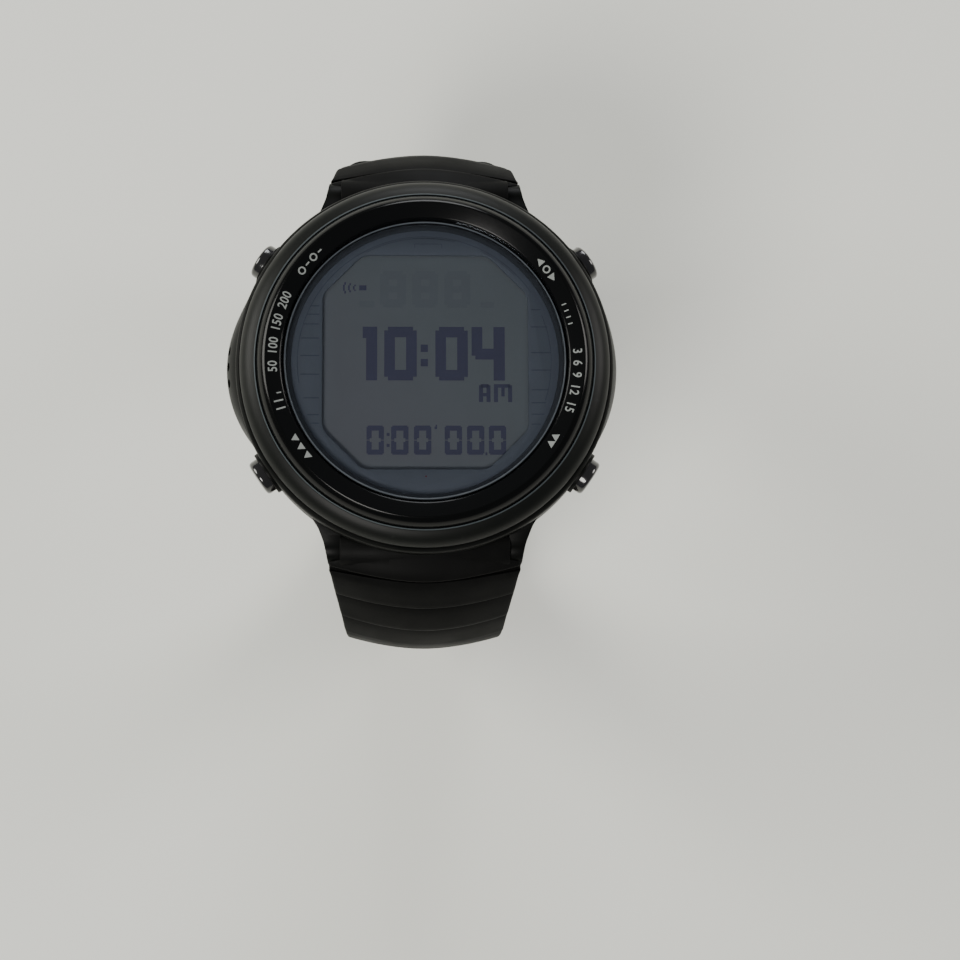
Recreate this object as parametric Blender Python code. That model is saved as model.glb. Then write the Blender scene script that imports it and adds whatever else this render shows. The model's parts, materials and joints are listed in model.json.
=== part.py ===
"""Wrist dive computer on a two-piece strap, as an assembly of separate pieces.

All lengths below are in millimetres and all angles in degrees; add_part() turns each mesh into
metres.  The origin is the centre of the case back's outer face.  +Z points out of the dial, +Y to
12 o'clock and +X to 3 o'clock.  The strap is open and stands on the flat run of its long half.
"""
import math

import bmesh
import bpy
from mathutils import Matrix, Vector

MM = 0.001

# Clearances
SEAT_GAP = 0.3            # between faces that rest on each other
SLIDE_GAP = 0.3           # round a pin, stem or cap in its bore
SNUG_GAP = 0.17           # round a seal or a clip
STRAP_GAP = 0.35          # between the strap and what it moves in
OVERRUN = 2.0             # how far a cutter runs past a face
STEP_RUN = 0.05           # length over which a strap section jumps

# Facets
ROUND_SIDES = 40
SMALL_SIDES = 14
PIN_SIDES = 10
WIRE_SIDES = 4
BEZEL_STEPS = 4

# Case
CASE_RADIUS = 24.75
CASE_TOP_INSET = 0.45
CASE_FOOT_INSET = 2.95
CASE_FOOT_Z = 1.0
CASE_WAIST_Z = 5.0
CASE_WALL = 5.15
CASE_SHOULDER_DROP = 1.0
BEZEL_BORE_INSET = 2.35
BEZEL_BORE_DEPTH = 1.8
CAVITY_FLOOR_THICKNESS = 2.7

# Case back and its fasteners
BACK_RADIUS = 19.6
BACK_THICKNESS = 2.0
BACK_SCREW_INSET = 1.7
BACK_SCREWS = 4
SCREW_HEAD_RADIUS = 1.25
SCREW_HEAD_HEIGHT = 0.7
SCREW_HEAD_SINK = 0.2
SCREW_SHANK_RADIUS = 0.55
SCREW_GRIP = 1.6
SCREW_SLOT_WIDTH = 0.4
SCREW_SLOT_DEPTH = 0.35
GASKET_THICKNESS = 0.5
GASKET_WIDTH = 0.8
GASKET_GROOVE_OFFSET = 0.3

# Inner stack, from the case back upwards
BUZZER_RADIUS = 10.0
BUZZER_THICKNESS = 0.3
BATTERY_RADIUS = 12.25
BATTERY_THICKNESS = 5.0
CONTACT_WIDTH = 3.0
CONTACT_THICKNESS = 0.2
BOARD_THICKNESS = 0.8
BACKLIGHT_THICKNESS = 0.6
PANEL_THICKNESS = 1.7
MASK_THICKNESS = 0.6
MODULE_WALL = 2.1
MODULE_INSET = 2.2
COIL_WIDTH = 1.3
COIL_HEIGHT = 1.0

# Bezel
BEZEL_LINE = 0.5          # dark line between case and bezel
BEZEL_INSET = 0.65
SHOULDER_WIDTH = 2.1
SHOULDER_RISE = 2.2
SLOPE_WIDTH = 1.51
SLOPE_RISE = 1.67
LEGEND_WIDTH = 1.86
LEGEND_DROP = 0.52
SKIRT_WIDTH = 1.2
SKIRT_DEPTH = 1.3
SHOULDER_PULL = (0.35, 0.75)   # how far the shoulder's curve is drawn in and down
SLOPE_PULL = (0.45, 0.35)
LEDGE_THICKNESS = 0.5
LEDGE_WIDTH = 1.1
LENS_THICKNESS = 1.3
LENS_CHAMFER = 0.2
LENS_WALL_DRAFT = 0.13
LENS_GASKET_THICKNESS = 0.4

# Display
WINDOW_HALF_X = 13.35
WINDOW_HALF_Y = 14.1
WINDOW_CORNER_X = 5.3
WINDOW_CORNER_Y = 5.1
PANEL_BORDER = 0.6

# Buttons
BUTTON_ANGLE = 34.0
BUTTON_DROP = 3.8         # below the case top
BUTTON_RADIUS = 2.4
BUTTON_STAND = 1.65       # cap face beyond the case radius
BUTTON_EDGE = 0.5
BUTTON_CAP_LENGTH = 2.3
CAP_FLOOR_DEPTH = 0.9
COLLAR_WALL = 0.2
COLLAR_STAND = 0.35
COLLAR_ROOT = 2.0
STEM_RADIUS = 0.8
STEM_GROOVE = 0.35
STEM_TAIL = 0.7
SPRING_WIRE_RADIUS = 0.15
SPRING_TURNS = 2.5
SPRING_STEM_GAP = 0.25
SPRING_BORE_GAP = 0.2
SPRING_POCKET_WALL = 1.3
SEAL_THICKNESS = 0.6
CLIP_THICKNESS = 0.3
CLIP_WIDTH = 1.0

# Side covers
COVER_ANGLE = 24.5
COVER_THICKNESS = 1.05
COVER_BOTTOM_Z = 4.5
COVER_TOP_DROP = 1.0
LEFT_COVER_BULGE = 1.45
RIGHT_COVER_BULGE = 0.75
COVER_LEVELS = ((0.0, 0.35), (0.18, 0.85), (0.5, 1.0), (0.72, 0.85), (1.0, 0.0))
COVER_STEPS = 15
COVER_PEG_ANGLE = 15.0
COVER_PEG_RADIUS = 0.65
COVER_PEG_LENGTH = 1.4
PORT_RADIUS = 0.58
PORT_PLACES = (-2.1, 0.1, 2.2)
PORT_Z = 8.0
SENSOR_RADIUS = 1.3
SENSOR_LENGTH = 5.0

# Lug ears and strap pins
PIN_INSET = 1.15          # pin line inside the case radius
PIN_Z = 5.7
PIN_RADIUS = 0.75
TUBE_RADIUS = 2.6
EAR_GAP_HALF = 11.35
EAR_ROOT_HALF = 15.1
EAR_TIP_HALF = 12.75
EAR_TIP_RADIUS = 2.1
EAR_ROOT_BACK = 4.2       # where the ear reaches its full width, behind the pin line
EAR_PIN_WALL = 0.5
EAR_CURVE = (13.1, -1.3)  # from the pin line: draws the ear's outer side in towards its tip
EAR_SIDES = 4

# Strap, common
STRAP_ROOT_THICKNESS = 3.2
STRAP_THICKNESS = 2.3
STRAP_SLOPE = 26.0
RIB_DEPTH = 0.9
RIB_LIFT = 0.4
RIB_GAP = 0.35
RIB_BOW = 3.2
FIRST_RIB_BOW = 2.2
SHOULDER_BOW = 1.6
ACROSS = (-1.0, -0.5, 0.0, 0.5, 1.0)
STRAP_STATION = 4.0

# Lower half: outer face in (y from the pin line, z), rib edges by distance along it
LOWER_FACE = (
    (-4.7, 6.3), (-7.9, 1.5), (-10.6, -3.5), (-12.4, -9.5), (-12.5, -16.0), (-11.4, -25.5),
    (-9.0, -35.5), (-5.0, -45.0), (1.2, -53.0), (9.6, -58.2), (18.6, -60.0), (29.6, -60.0),
    (43.6, -60.0), (61.6, -60.0),
)
LOWER_RIBS = (4.0, 9.8, 15.5, 21.6, 27.6)
LOWER_WIDTHS = ((4.0, 12.65), (9.8, 12.0), (15.5, 11.35), (21.6, 10.95), (45.0, 10.4), (140.0, 10.0))
HOLE_RADIUS = 1.3
HOLE_PITCH = 6.5
HOLES = 10
HOLE_END = 16.0
TIP_LENGTH = 9.0
TIP_HALF = 3.0
TIP_STEPS = 5
BOW_FADE_STEPS = 5

# Upper half
UPPER_FACE = (
    (4.35, 6.3), (7.15, 2.4), (8.5, -1.7), (9.5, -8.0), (9.43, -14.0), (9.0, -19.0),
    (8.57, -24.0), (8.14, -29.0), (6.7, -33.3), (4.3, -36.6), (2.0, -38.8),
)
UPPER_RIBS = (3.6, 8.6, 13.4, 18.2)
UPPER_WIDTHS = ((3.6, 12.65), (8.6, 12.0), (13.4, 11.4), (22.0, 10.7), (32.0, 10.05), (140.0, 10.05))

# Keepers
KEEPER_LENGTH = 5.0
KEEPER_WALL = 1.4
KEEPER_ROOM = 3.0         # for the other strap half, over the outer face
KEEPER_CORNER = 1.2
FREE_KEEPER_AT = 34.0
FIXED_KEEPER_AT = 40.6

# Buckle
BUCKLE_PIN_RADIUS = 0.7
BUCKLE_TUBE_RADIUS = 1.7
BUCKLE_HUB_INSET = 0.5    # hub before the end of the strip
BUCKLE_ARM_WIDTH = 2.2
BUCKLE_EYE_RADIUS = 1.9
BUCKLE_REACH = 11.6
BUCKLE_BAR = 2.5
BUCKLE_BAR_INNER = -1.3
BUCKLE_BAR_OUTER = 0.7
BUCKLE_PIN_WALL = 0.5
BUCKLE_CROWN_STEPS = 8
TONGUE_EYE_SWEEP = 285.0
TONGUE_EYE_STEPS = 14
TONGUE_HALF_WIDTH = 1.3
TONGUE_THICKNESS = 1.2
TONGUE_SLOT_DEPTH = 4.2

# Heights that follow from the stack
buzzer_z = BACK_THICKNESS + SEAT_GAP
battery_z = buzzer_z + BUZZER_THICKNESS + SEAT_GAP
contact_z = battery_z + BATTERY_THICKNESS + SEAT_GAP
board_z = contact_z + CONTACT_THICKNESS + SEAT_GAP
backlight_z = board_z + BOARD_THICKNESS + SEAT_GAP
panel_z = backlight_z + BACKLIGHT_THICKNESS + SEAT_GAP
mask_z = panel_z + PANEL_THICKNESS + SEAT_GAP
lens_z = mask_z + MASK_THICKNESS + SEAT_GAP
lens_top_z = lens_z + LENS_THICKNESS
ledge_top_z = lens_z - SEAT_GAP - LENS_GASKET_THICKNESS - SEAT_GAP
bezel_bottom_z = ledge_top_z - LEDGE_THICKNESS
case_top_z = bezel_bottom_z - BEZEL_LINE
case_shoulder_z = case_top_z - CASE_SHOULDER_DROP
bezel_bore_floor_z = case_top_z - BEZEL_BORE_DEPTH
button_z = case_top_z - BUTTON_DROP
back_seat_z = BACK_THICKNESS + SEAT_GAP
cavity_floor_z = back_seat_z + CAVITY_FLOOR_THICKNESS
cover_top_z = case_top_z - COVER_TOP_DROP

# Radii that follow from the case and from what it holds
cavity_radius = CASE_RADIUS - CASE_WALL
back_opening_radius = BATTERY_RADIUS + SEAT_GAP + MODULE_WALL + SEAT_GAP
module_radius = cavity_radius - MODULE_INSET
bezel_bore_radius = CASE_RADIUS - BEZEL_BORE_INSET
bezel_rim_radius = CASE_RADIUS - BEZEL_INSET
crest_radius = bezel_rim_radius - SHOULDER_WIDTH
legend_outer_radius = crest_radius - SLOPE_WIDTH
legend_inner_radius = legend_outer_radius - LEGEND_WIDTH
lens_bore_radius = legend_inner_radius - LENS_WALL_DRAFT
lens_radius = lens_bore_radius - SLIDE_GAP
ledge_radius = lens_bore_radius - LEDGE_WIDTH
mask_radius = ledge_radius - SLIDE_GAP
skirt_radius = bezel_bore_radius - SLIDE_GAP
screw_circle = BACK_RADIUS - BACK_SCREW_INSET
screw_hole_radius = SCREW_SHANK_RADIUS + SLIDE_GAP
cap_floor_radius = CASE_RADIUS + BUTTON_STAND - BUTTON_CAP_LENGTH - CAP_FLOOR_DEPTH
cap_inner_radius = CASE_RADIUS + BUTTON_STAND - BUTTON_CAP_LENGTH
cap_bore_radius = BUTTON_RADIUS + STRAP_GAP
spring_floor_radius = cavity_radius + SPRING_POCKET_WALL
spring_mean_radius = STEM_RADIUS + SPRING_STEM_GAP + SPRING_WIRE_RADIUS
spring_bore_radius = spring_mean_radius + SPRING_WIRE_RADIUS + SPRING_BORE_GAP
stem_bore_radius = STEM_RADIUS + SLIDE_GAP
clip_z = cavity_radius - SEAT_GAP - CLIP_THICKNESS
cover_seat_radius = CASE_RADIUS - COVER_THICKNESS
pin_out = CASE_RADIUS - PIN_INSET
ear_root_out = pin_out - EAR_ROOT_BACK
ear_back_out = math.sqrt((cavity_radius + SEAT_GAP) ** 2 - (EAR_GAP_HALF - SEAT_GAP) ** 2)
pocket_wall_out = pin_out - TUBE_RADIUS - STRAP_GAP
pocket_top_z = PIN_Z + TUBE_RADIUS + STRAP_GAP
tongue_root_half = EAR_GAP_HALF - SEAT_GAP
pin_bore_radius = PIN_RADIUS + SLIDE_GAP
pin_bore_half = EAR_TIP_HALF + SEAT_GAP - EAR_PIN_WALL
pin_half = pin_bore_half - SEAT_GAP
buckle_inner_half = UPPER_WIDTHS[-1][1] + STRAP_GAP
buckle_outer_half = buckle_inner_half + BUCKLE_ARM_WIDTH
buckle_bore_radius = BUCKLE_PIN_RADIUS + SLIDE_GAP
buckle_bore_half = buckle_outer_half - BUCKLE_PIN_WALL
buckle_pin_half = buckle_bore_half - SEAT_GAP

FINISHES = {
    "composite_black": ((0.014, 0.015, 0.014), 0.45, 0.0),
    "polished_black": ((0.008, 0.008, 0.008), 0.12, 0.0),
    "elastomer_black": ((0.016, 0.016, 0.016), 0.60, 0.0),
    "rubber_seal": ((0.02, 0.02, 0.02), 0.75, 0.0),
    "coated_steel": ((0.035, 0.035, 0.035), 0.28, 1.0),
    "bright_steel": ((0.56, 0.56, 0.55), 0.30, 1.0),
    "lens_glass": ((0.62, 0.68, 0.70), 0.03, 0.0),
    "dial_slate": ((0.032, 0.037, 0.058), 0.40, 0.0),
    "panel_grey": ((0.068, 0.078, 0.074), 0.25, 0.0),
    "diffuser_white": ((0.75, 0.76, 0.72), 0.50, 0.0),
    "board_green": ((0.02, 0.10, 0.045), 0.55, 0.0),
    "module_grey": ((0.10, 0.10, 0.10), 0.55, 0.0),
    "brass_disc": ((0.55, 0.40, 0.14), 0.35, 1.0),
    "copper_wire": ((0.60, 0.28, 0.14), 0.35, 1.0),
}


# ---------------------------------------------------------------- helpers

def clear_scene():
    """Remove every object that the file opened with."""
    for obj in list(bpy.data.objects):
        bpy.data.objects.remove(obj, do_unlink=True)


def finish(name):
    """The material called name, made on first use."""
    material = bpy.data.materials.get(name)
    if material is None:
        colour, roughness, metallic = FINISHES[name]
        material = bpy.data.materials.new(name)
        material.use_nodes = True
        shader = material.node_tree.nodes["Principled BSDF"]
        shader.inputs["Base Color"].default_value = (*colour, 1.0)
        shader.inputs["Roughness"].default_value = roughness
        shader.inputs["Metallic"].default_value = metallic
    return material


def add_object(name, bm, origin=(0.0, 0.0, 0.0)):
    """Turn a mesh in millimetres into an object in metres with its origin at origin."""
    bmesh.ops.recalc_face_normals(bm, faces=bm.faces)
    bmesh.ops.translate(bm, verts=bm.verts, vec=-Vector(origin))
    bmesh.ops.scale(bm, verts=bm.verts, vec=(MM, MM, MM))
    mesh = bpy.data.meshes.new(name)
    bm.to_mesh(mesh)
    bm.free()
    obj = bpy.data.objects.new(name, mesh)
    obj.location = Vector(origin) * MM
    bpy.context.scene.collection.objects.link(obj)
    return obj


def add_part(name, bm, finish_name, origin=(0.0, 0.0, 0.0)):
    """A visible piece, shaded smooth except at its real edges."""
    obj = add_object(name, bm, origin)
    obj.data.materials.append(finish(finish_name))
    obj.data.shade_smooth()
    obj.data.set_sharp_from_angle(angle=math.radians(32))
    return obj


def boolean(target, tool_name, bm, operation="DIFFERENCE"):
    """Cut target with a tool, or join the tool to it.  The tool stays as a hidden guide."""
    tool = add_object(tool_name, bm)
    tool.hide_render = True
    tool.display_type = "WIRE"
    modifier = target.modifiers.new(tool_name, "BOOLEAN")
    modifier.operation = operation
    modifier.object = tool
    return tool


def turned(profile, sides=ROUND_SIDES):
    """A closed (radius, height) outline swung once round the Z axis."""
    bm = bmesh.new()
    verts = [bm.verts.new((radius, 0.0, height)) for radius, height in profile]
    edges = []
    for first, second in zip(verts, verts[1:] + verts[:1]):
        if first.co.x > 0 or second.co.x > 0:
            edges.append(bm.edges.new((first, second)))
    bmesh.ops.spin(bm, geom=verts + edges, cent=(0, 0, 0), axis=(0, 0, 1), angle=math.tau,
                   steps=sides, use_merge=True)
    bmesh.ops.remove_doubles(bm, verts=bm.verts, dist=0.001)
    return bm


def washer(inner, outer, low, high, sides=ROUND_SIDES):
    """A flat ring."""
    return turned([(inner, low), (outer, low), (outer, high), (inner, high)], sides)


def disc(radius, low, high, sides=ROUND_SIDES):
    """A plain round plate or rod on the Z axis."""
    return turned([(0.0, low), (radius, low), (radius, high), (0.0, high)], sides)


def prism(outline, low, high):
    """An outline in XY, extruded from low to high."""
    bm = bmesh.new()
    face = bm.faces.new([bm.verts.new((x, y, low)) for x, y in outline])
    grown = bmesh.ops.extrude_face_region(bm, geom=[face])
    lifted = [item for item in grown["geom"] if isinstance(item, bmesh.types.BMVert)]
    bmesh.ops.translate(bm, verts=lifted, vec=(0.0, 0.0, high - low))
    return bm


def side_prism(outline, half_width, centre_x=0.0):
    """An outline in YZ, extruded along X to both sides of centre_x."""
    bm = prism(outline, -half_width, half_width)
    turn = Matrix(((0, 0, 1, 0), (1, 0, 0, 0), (0, 1, 0, 0), (0, 0, 0, 1)))
    bmesh.ops.transform(bm, verts=bm.verts, matrix=Matrix.Translation((centre_x, 0, 0)) @ turn)
    return bm


def box(low, high):
    """A block between two corners."""
    return prism([(low[0], low[1]), (high[0], low[1]), (high[0], high[1]), (low[0], high[1])],
                 low[2], high[2])


def stack(levels):
    """A solid through outlines of one point count: [(height, outline), ...]."""
    bm = bmesh.new()
    rows = [[bm.verts.new((x, y, height)) for x, y in outline] for height, outline in levels]
    for lower, upper in zip(rows, rows[1:]):
        for i in range(len(lower)):
            j = (i + 1) % len(lower)
            bm.faces.new((lower[i], lower[j], upper[j], upper[i]))
    bm.faces.new(rows[0])
    bm.faces.new(rows[-1])
    return bm


def moved(bm, matrix):
    """The same mesh, carried by matrix."""
    bmesh.ops.transform(bm, verts=bm.verts, matrix=matrix)
    return bm


def joined(meshes):
    """Several separate solids as one mesh."""
    bm = bmesh.new()
    for part in meshes:
        mesh = bpy.data.meshes.new("guide")
        part.to_mesh(mesh)
        part.free()
        bm.from_mesh(mesh)
        bpy.data.meshes.remove(mesh)
    return bm


def radial(angle, height):
    """Carries local Z to the direction that points outwards at angle from +X."""
    return (Matrix.Translation((0, 0, height)) @ Matrix.Rotation(math.radians(angle), 4, "Z")
            @ Matrix.Rotation(math.radians(90), 4, "Y"))


def along_x(y, z):
    """Carries local Z to the X axis through (y, z)."""
    return Matrix.Translation((0, y, z)) @ Matrix.Rotation(math.radians(90), 4, "Y")


def arc(centre, radius, start, end, count):
    """Points on an arc, both ends included."""
    points = []
    for i in range(count + 1):
        angle = math.radians(start + (end - start) * i / count)
        points.append((centre[0] + radius * math.cos(angle), centre[1] + radius * math.sin(angle)))
    return points


def bend(start, control, end, count):
    """Points on a quadratic curve, both ends included."""
    points = []
    for i in range(count + 1):
        t = i / count
        weights = ((1 - t) ** 2, 2 * t * (1 - t), t ** 2)
        points.append(tuple(sum(w * p[k] for w, p in zip(weights, (start, control, end)))
                            for k in range(2)))
    return points


def rounded_box(half_x, low_y, high_y, corner, count=3):
    """A rectangle with round corners."""
    inner_x = half_x - corner
    return (arc((inner_x, high_y - corner), corner, 0, 90, count)
            + arc((-inner_x, high_y - corner), corner, 90, 180, count)
            + arc((-inner_x, low_y + corner), corner, 180, 270, count)
            + arc((inner_x, low_y + corner), corner, 270, 360, count))


def ring_prism(outer, inner, low, high):
    """A wall between two outlines of one point count."""
    bm = bmesh.new()
    loops = [[bm.verts.new((x, y, height)) for x, y in outline]
             for outline, height in ((outer, low), (outer, high), (inner, high), (inner, low))]
    for first, second in zip(loops, loops[1:] + loops[:1]):
        for i in range(len(first)):
            j = (i + 1) % len(first)
            bm.faces.new((first[i], first[j], second[j], second[i]))
    return bm


# ---------------------------------------------------------------- case

def case_body():
    """The housing: a turned ring with ears, collars, pockets and bores."""
    foot = CASE_RADIUS - CASE_FOOT_INSET
    recess = BACK_RADIUS + SLIDE_GAP
    profile = [
        (foot, CASE_FOOT_Z), (CASE_RADIUS, CASE_WAIST_Z), (CASE_RADIUS, case_shoulder_z),
        (CASE_RADIUS - CASE_TOP_INSET, case_top_z), (bezel_bore_radius, case_top_z),
        (bezel_bore_radius, bezel_bore_floor_z), (cavity_radius, bezel_bore_floor_z),
        (cavity_radius, cavity_floor_z), (back_opening_radius, cavity_floor_z),
        (back_opening_radius, back_seat_z), (recess, back_seat_z), (recess, CASE_FOOT_Z),
    ]
    body = add_part("case_body", turned(profile), "composite_black")

    collar_radius = cap_bore_radius + COLLAR_WALL
    additions = [moved(disc(collar_radius, CASE_RADIUS - COLLAR_ROOT, CASE_RADIUS + COLLAR_STAND,
                            SMALL_SIDES), radial(angle, button_z))
                 for _, angle in button_angles()]
    additions += [lug_ear(side, end) for end in (1, -1) for side in (1, -1)]
    boolean(body, "guide_case_additions", joined(additions), "UNION")

    wells = [button_bore(angle) for _, angle in button_angles()]
    wells += [strap_pocket(end) for end in (1, -1)]
    wells += [cover_seat(turn) for turn in (0, 180)]
    wells += [moved(disc(screw_hole_radius, back_seat_z - SEAT_GAP,
                         back_seat_z + SCREW_GRIP + SEAT_GAP, PIN_SIDES), screw_place(i))
              for i in range(BACK_SCREWS)]
    wells.append(washer(*gasket_groove(), back_seat_z - SEAT_GAP,
                        back_seat_z + GASKET_THICKNESS + SEAT_GAP))
    boolean(body, "guide_case_wells", joined(wells))

    bores = [moved(disc(pin_bore_radius, -pin_bore_half, pin_bore_half, PIN_SIDES),
                   along_x(end * pin_out, PIN_Z)) for end in (1, -1)]
    peg_floor = cover_seat_radius - COVER_PEG_LENGTH - 2 * SEAT_GAP
    bores += [moved(disc(COVER_PEG_RADIUS + SLIDE_GAP, peg_floor, CASE_RADIUS, PIN_SIDES),
                    radial(turn + sign * COVER_PEG_ANGLE, PORT_Z))
              for turn in (0, 180) for sign in (-1, 1)]
    bores.append(moved(disc(SENSOR_RADIUS + SLIDE_GAP, module_radius, CASE_RADIUS, PIN_SIDES),
                       radial(180, PORT_Z)))
    boolean(body, "guide_case_bores", joined(bores))


def strap_pocket(end):
    """The space between two ears and under the flange that takes the end of a strap half."""
    near, far = sorted((end * pocket_wall_out, end * (pin_out + TUBE_RADIUS + OVERRUN)))
    return box((-EAR_GAP_HALF, near, -OVERRUN), (EAR_GAP_HALF, far, pocket_top_z))


def lug_ear(side, end):
    """One ear: round about the pin from the side, drawn in to a tip from above."""
    tip_out = pin_out + EAR_TIP_RADIUS
    root = (EAR_ROOT_HALF, ear_root_out)
    control = (EAR_CURVE[0], pin_out + EAR_CURVE[1])
    plan = [(EAR_GAP_HALF - SEAT_GAP, tip_out)]
    plan += bend((EAR_TIP_HALF, tip_out), control, root, EAR_SIDES)
    levels = []
    for x, out in plan:
        outline = [(ear_back_out, pocket_top_z + SEAT_GAP),
                   (ear_back_out, PIN_Z - EAR_TIP_RADIUS)]
        outline += arc((out - EAR_TIP_RADIUS, PIN_Z), EAR_TIP_RADIUS, -90, 50, EAR_SIDES)
        outline.append((out - EAR_TIP_RADIUS, pocket_top_z + SEAT_GAP))
        levels.append((x, outline))
    turn = Matrix(((0, 0, side, 0), (end, 0, 0, 0), (0, 1, 0, 0), (0, 0, 0, 1)))
    return moved(stack(levels), turn)


def back_parts():
    """Case back, its gasket and its screws."""
    back = add_part("case_back", disc(BACK_RADIUS, 0.0, BACK_THICKNESS), "bright_steel")
    head_seat = SCREW_HEAD_SINK + SCREW_HEAD_HEIGHT + SEAT_GAP
    for i in range(BACK_SCREWS):
        hole = turned([
            (0.0, -OVERRUN), (SCREW_HEAD_RADIUS + SLIDE_GAP, -OVERRUN),
            (SCREW_HEAD_RADIUS + SLIDE_GAP, head_seat), (screw_hole_radius, head_seat),
            (screw_hole_radius, BACK_THICKNESS + OVERRUN), (0.0, BACK_THICKNESS + OVERRUN),
        ], PIN_SIDES)
        boolean(back, f"guide_back_hole_{i + 1}", moved(hole, screw_place(i)))
        head_top = SCREW_HEAD_SINK + SCREW_HEAD_HEIGHT
        screw = add_part(f"case_back_screw_{i + 1}", moved(turned([
            (0.0, SCREW_HEAD_SINK), (SCREW_HEAD_RADIUS, SCREW_HEAD_SINK),
            (SCREW_HEAD_RADIUS, head_top), (SCREW_SHANK_RADIUS, head_top),
            (SCREW_SHANK_RADIUS, back_seat_z + SCREW_GRIP), (0.0, back_seat_z + SCREW_GRIP),
        ], PIN_SIDES), screw_place(i)), "bright_steel")
        slot = box((-OVERRUN, -SCREW_SLOT_WIDTH / 2, -OVERRUN),
                   (OVERRUN, SCREW_SLOT_WIDTH / 2, SCREW_HEAD_SINK + SCREW_SLOT_DEPTH))
        boolean(screw, f"guide_screw_slot_{i + 1}", moved(slot, screw_place(i)))
    inner, outer = gasket_groove()
    gasket = washer(inner + SNUG_GAP, outer - SNUG_GAP, back_seat_z, back_seat_z + GASKET_THICKNESS)
    add_part("case_back_gasket", gasket, "rubber_seal")


def screw_place(index):
    """Where one case back screw stands."""
    turn = Matrix.Rotation(math.radians(45 + index * 360 / BACK_SCREWS), 4, "Z")
    return turn @ Matrix.Translation((screw_circle, 0, 0))


def gasket_groove():
    """Inner and outer radius of the groove that holds the case back gasket."""
    inner = back_opening_radius + GASKET_GROOVE_OFFSET
    return inner, inner + GASKET_WIDTH + 2 * SNUG_GAP


def bezel_parts():
    """Bezel ring with its gasket, the lens and the lens gasket."""
    crest_z = bezel_bottom_z + SHOULDER_RISE
    legend_z = crest_z + SLOPE_RISE
    shoulder = bend((bezel_rim_radius, bezel_bottom_z),
                    (bezel_rim_radius - SHOULDER_PULL[0], crest_z - SHOULDER_PULL[1]),
                    (crest_radius, crest_z), BEZEL_STEPS)
    slope = bend((crest_radius, crest_z), (crest_radius - SLOPE_PULL[0], legend_z - SLOPE_PULL[1]),
                 (legend_outer_radius, legend_z), BEZEL_STEPS)
    skirt_low = bezel_bottom_z - SKIRT_DEPTH
    profile = shoulder + slope[1:] + [
        (legend_inner_radius, legend_z - LEGEND_DROP), (lens_bore_radius, lens_top_z),
        (lens_bore_radius, ledge_top_z), (ledge_radius, ledge_top_z),
        (ledge_radius, bezel_bottom_z), (skirt_radius - SKIRT_WIDTH, bezel_bottom_z),
        (skirt_radius - SKIRT_WIDTH, skirt_low), (skirt_radius, skirt_low),
        (skirt_radius, bezel_bottom_z),
    ]
    add_part("bezel_ring", turned(profile), "composite_black")
    add_part("bezel_gasket", washer(skirt_radius - SKIRT_WIDTH, skirt_radius - SEAT_GAP,
                                    bezel_bore_floor_z + SEAT_GAP, skirt_low - SEAT_GAP),
             "rubber_seal")
    add_part("lens", turned([
        (0.0, lens_z), (lens_radius, lens_z), (lens_radius, lens_top_z - LENS_CHAMFER),
        (lens_radius - LENS_CHAMFER, lens_top_z), (0.0, lens_top_z),
    ]), "lens_glass")
    add_part("lens_gasket", washer(ledge_radius, lens_radius, ledge_top_z + SEAT_GAP,
                                   lens_z - SEAT_GAP), "rubber_seal")


def eight_sided(half_x, half_y, corner_x, corner_y):
    """A rectangle with its corners cut off."""
    quarter = [(half_x, half_y - corner_y), (half_x - corner_x, half_y)]
    return (quarter + [(-x, y) for x, y in reversed(quarter)]
            + [(-x, -y) for x, y in quarter] + [(x, -y) for x, y in reversed(quarter)])


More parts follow.
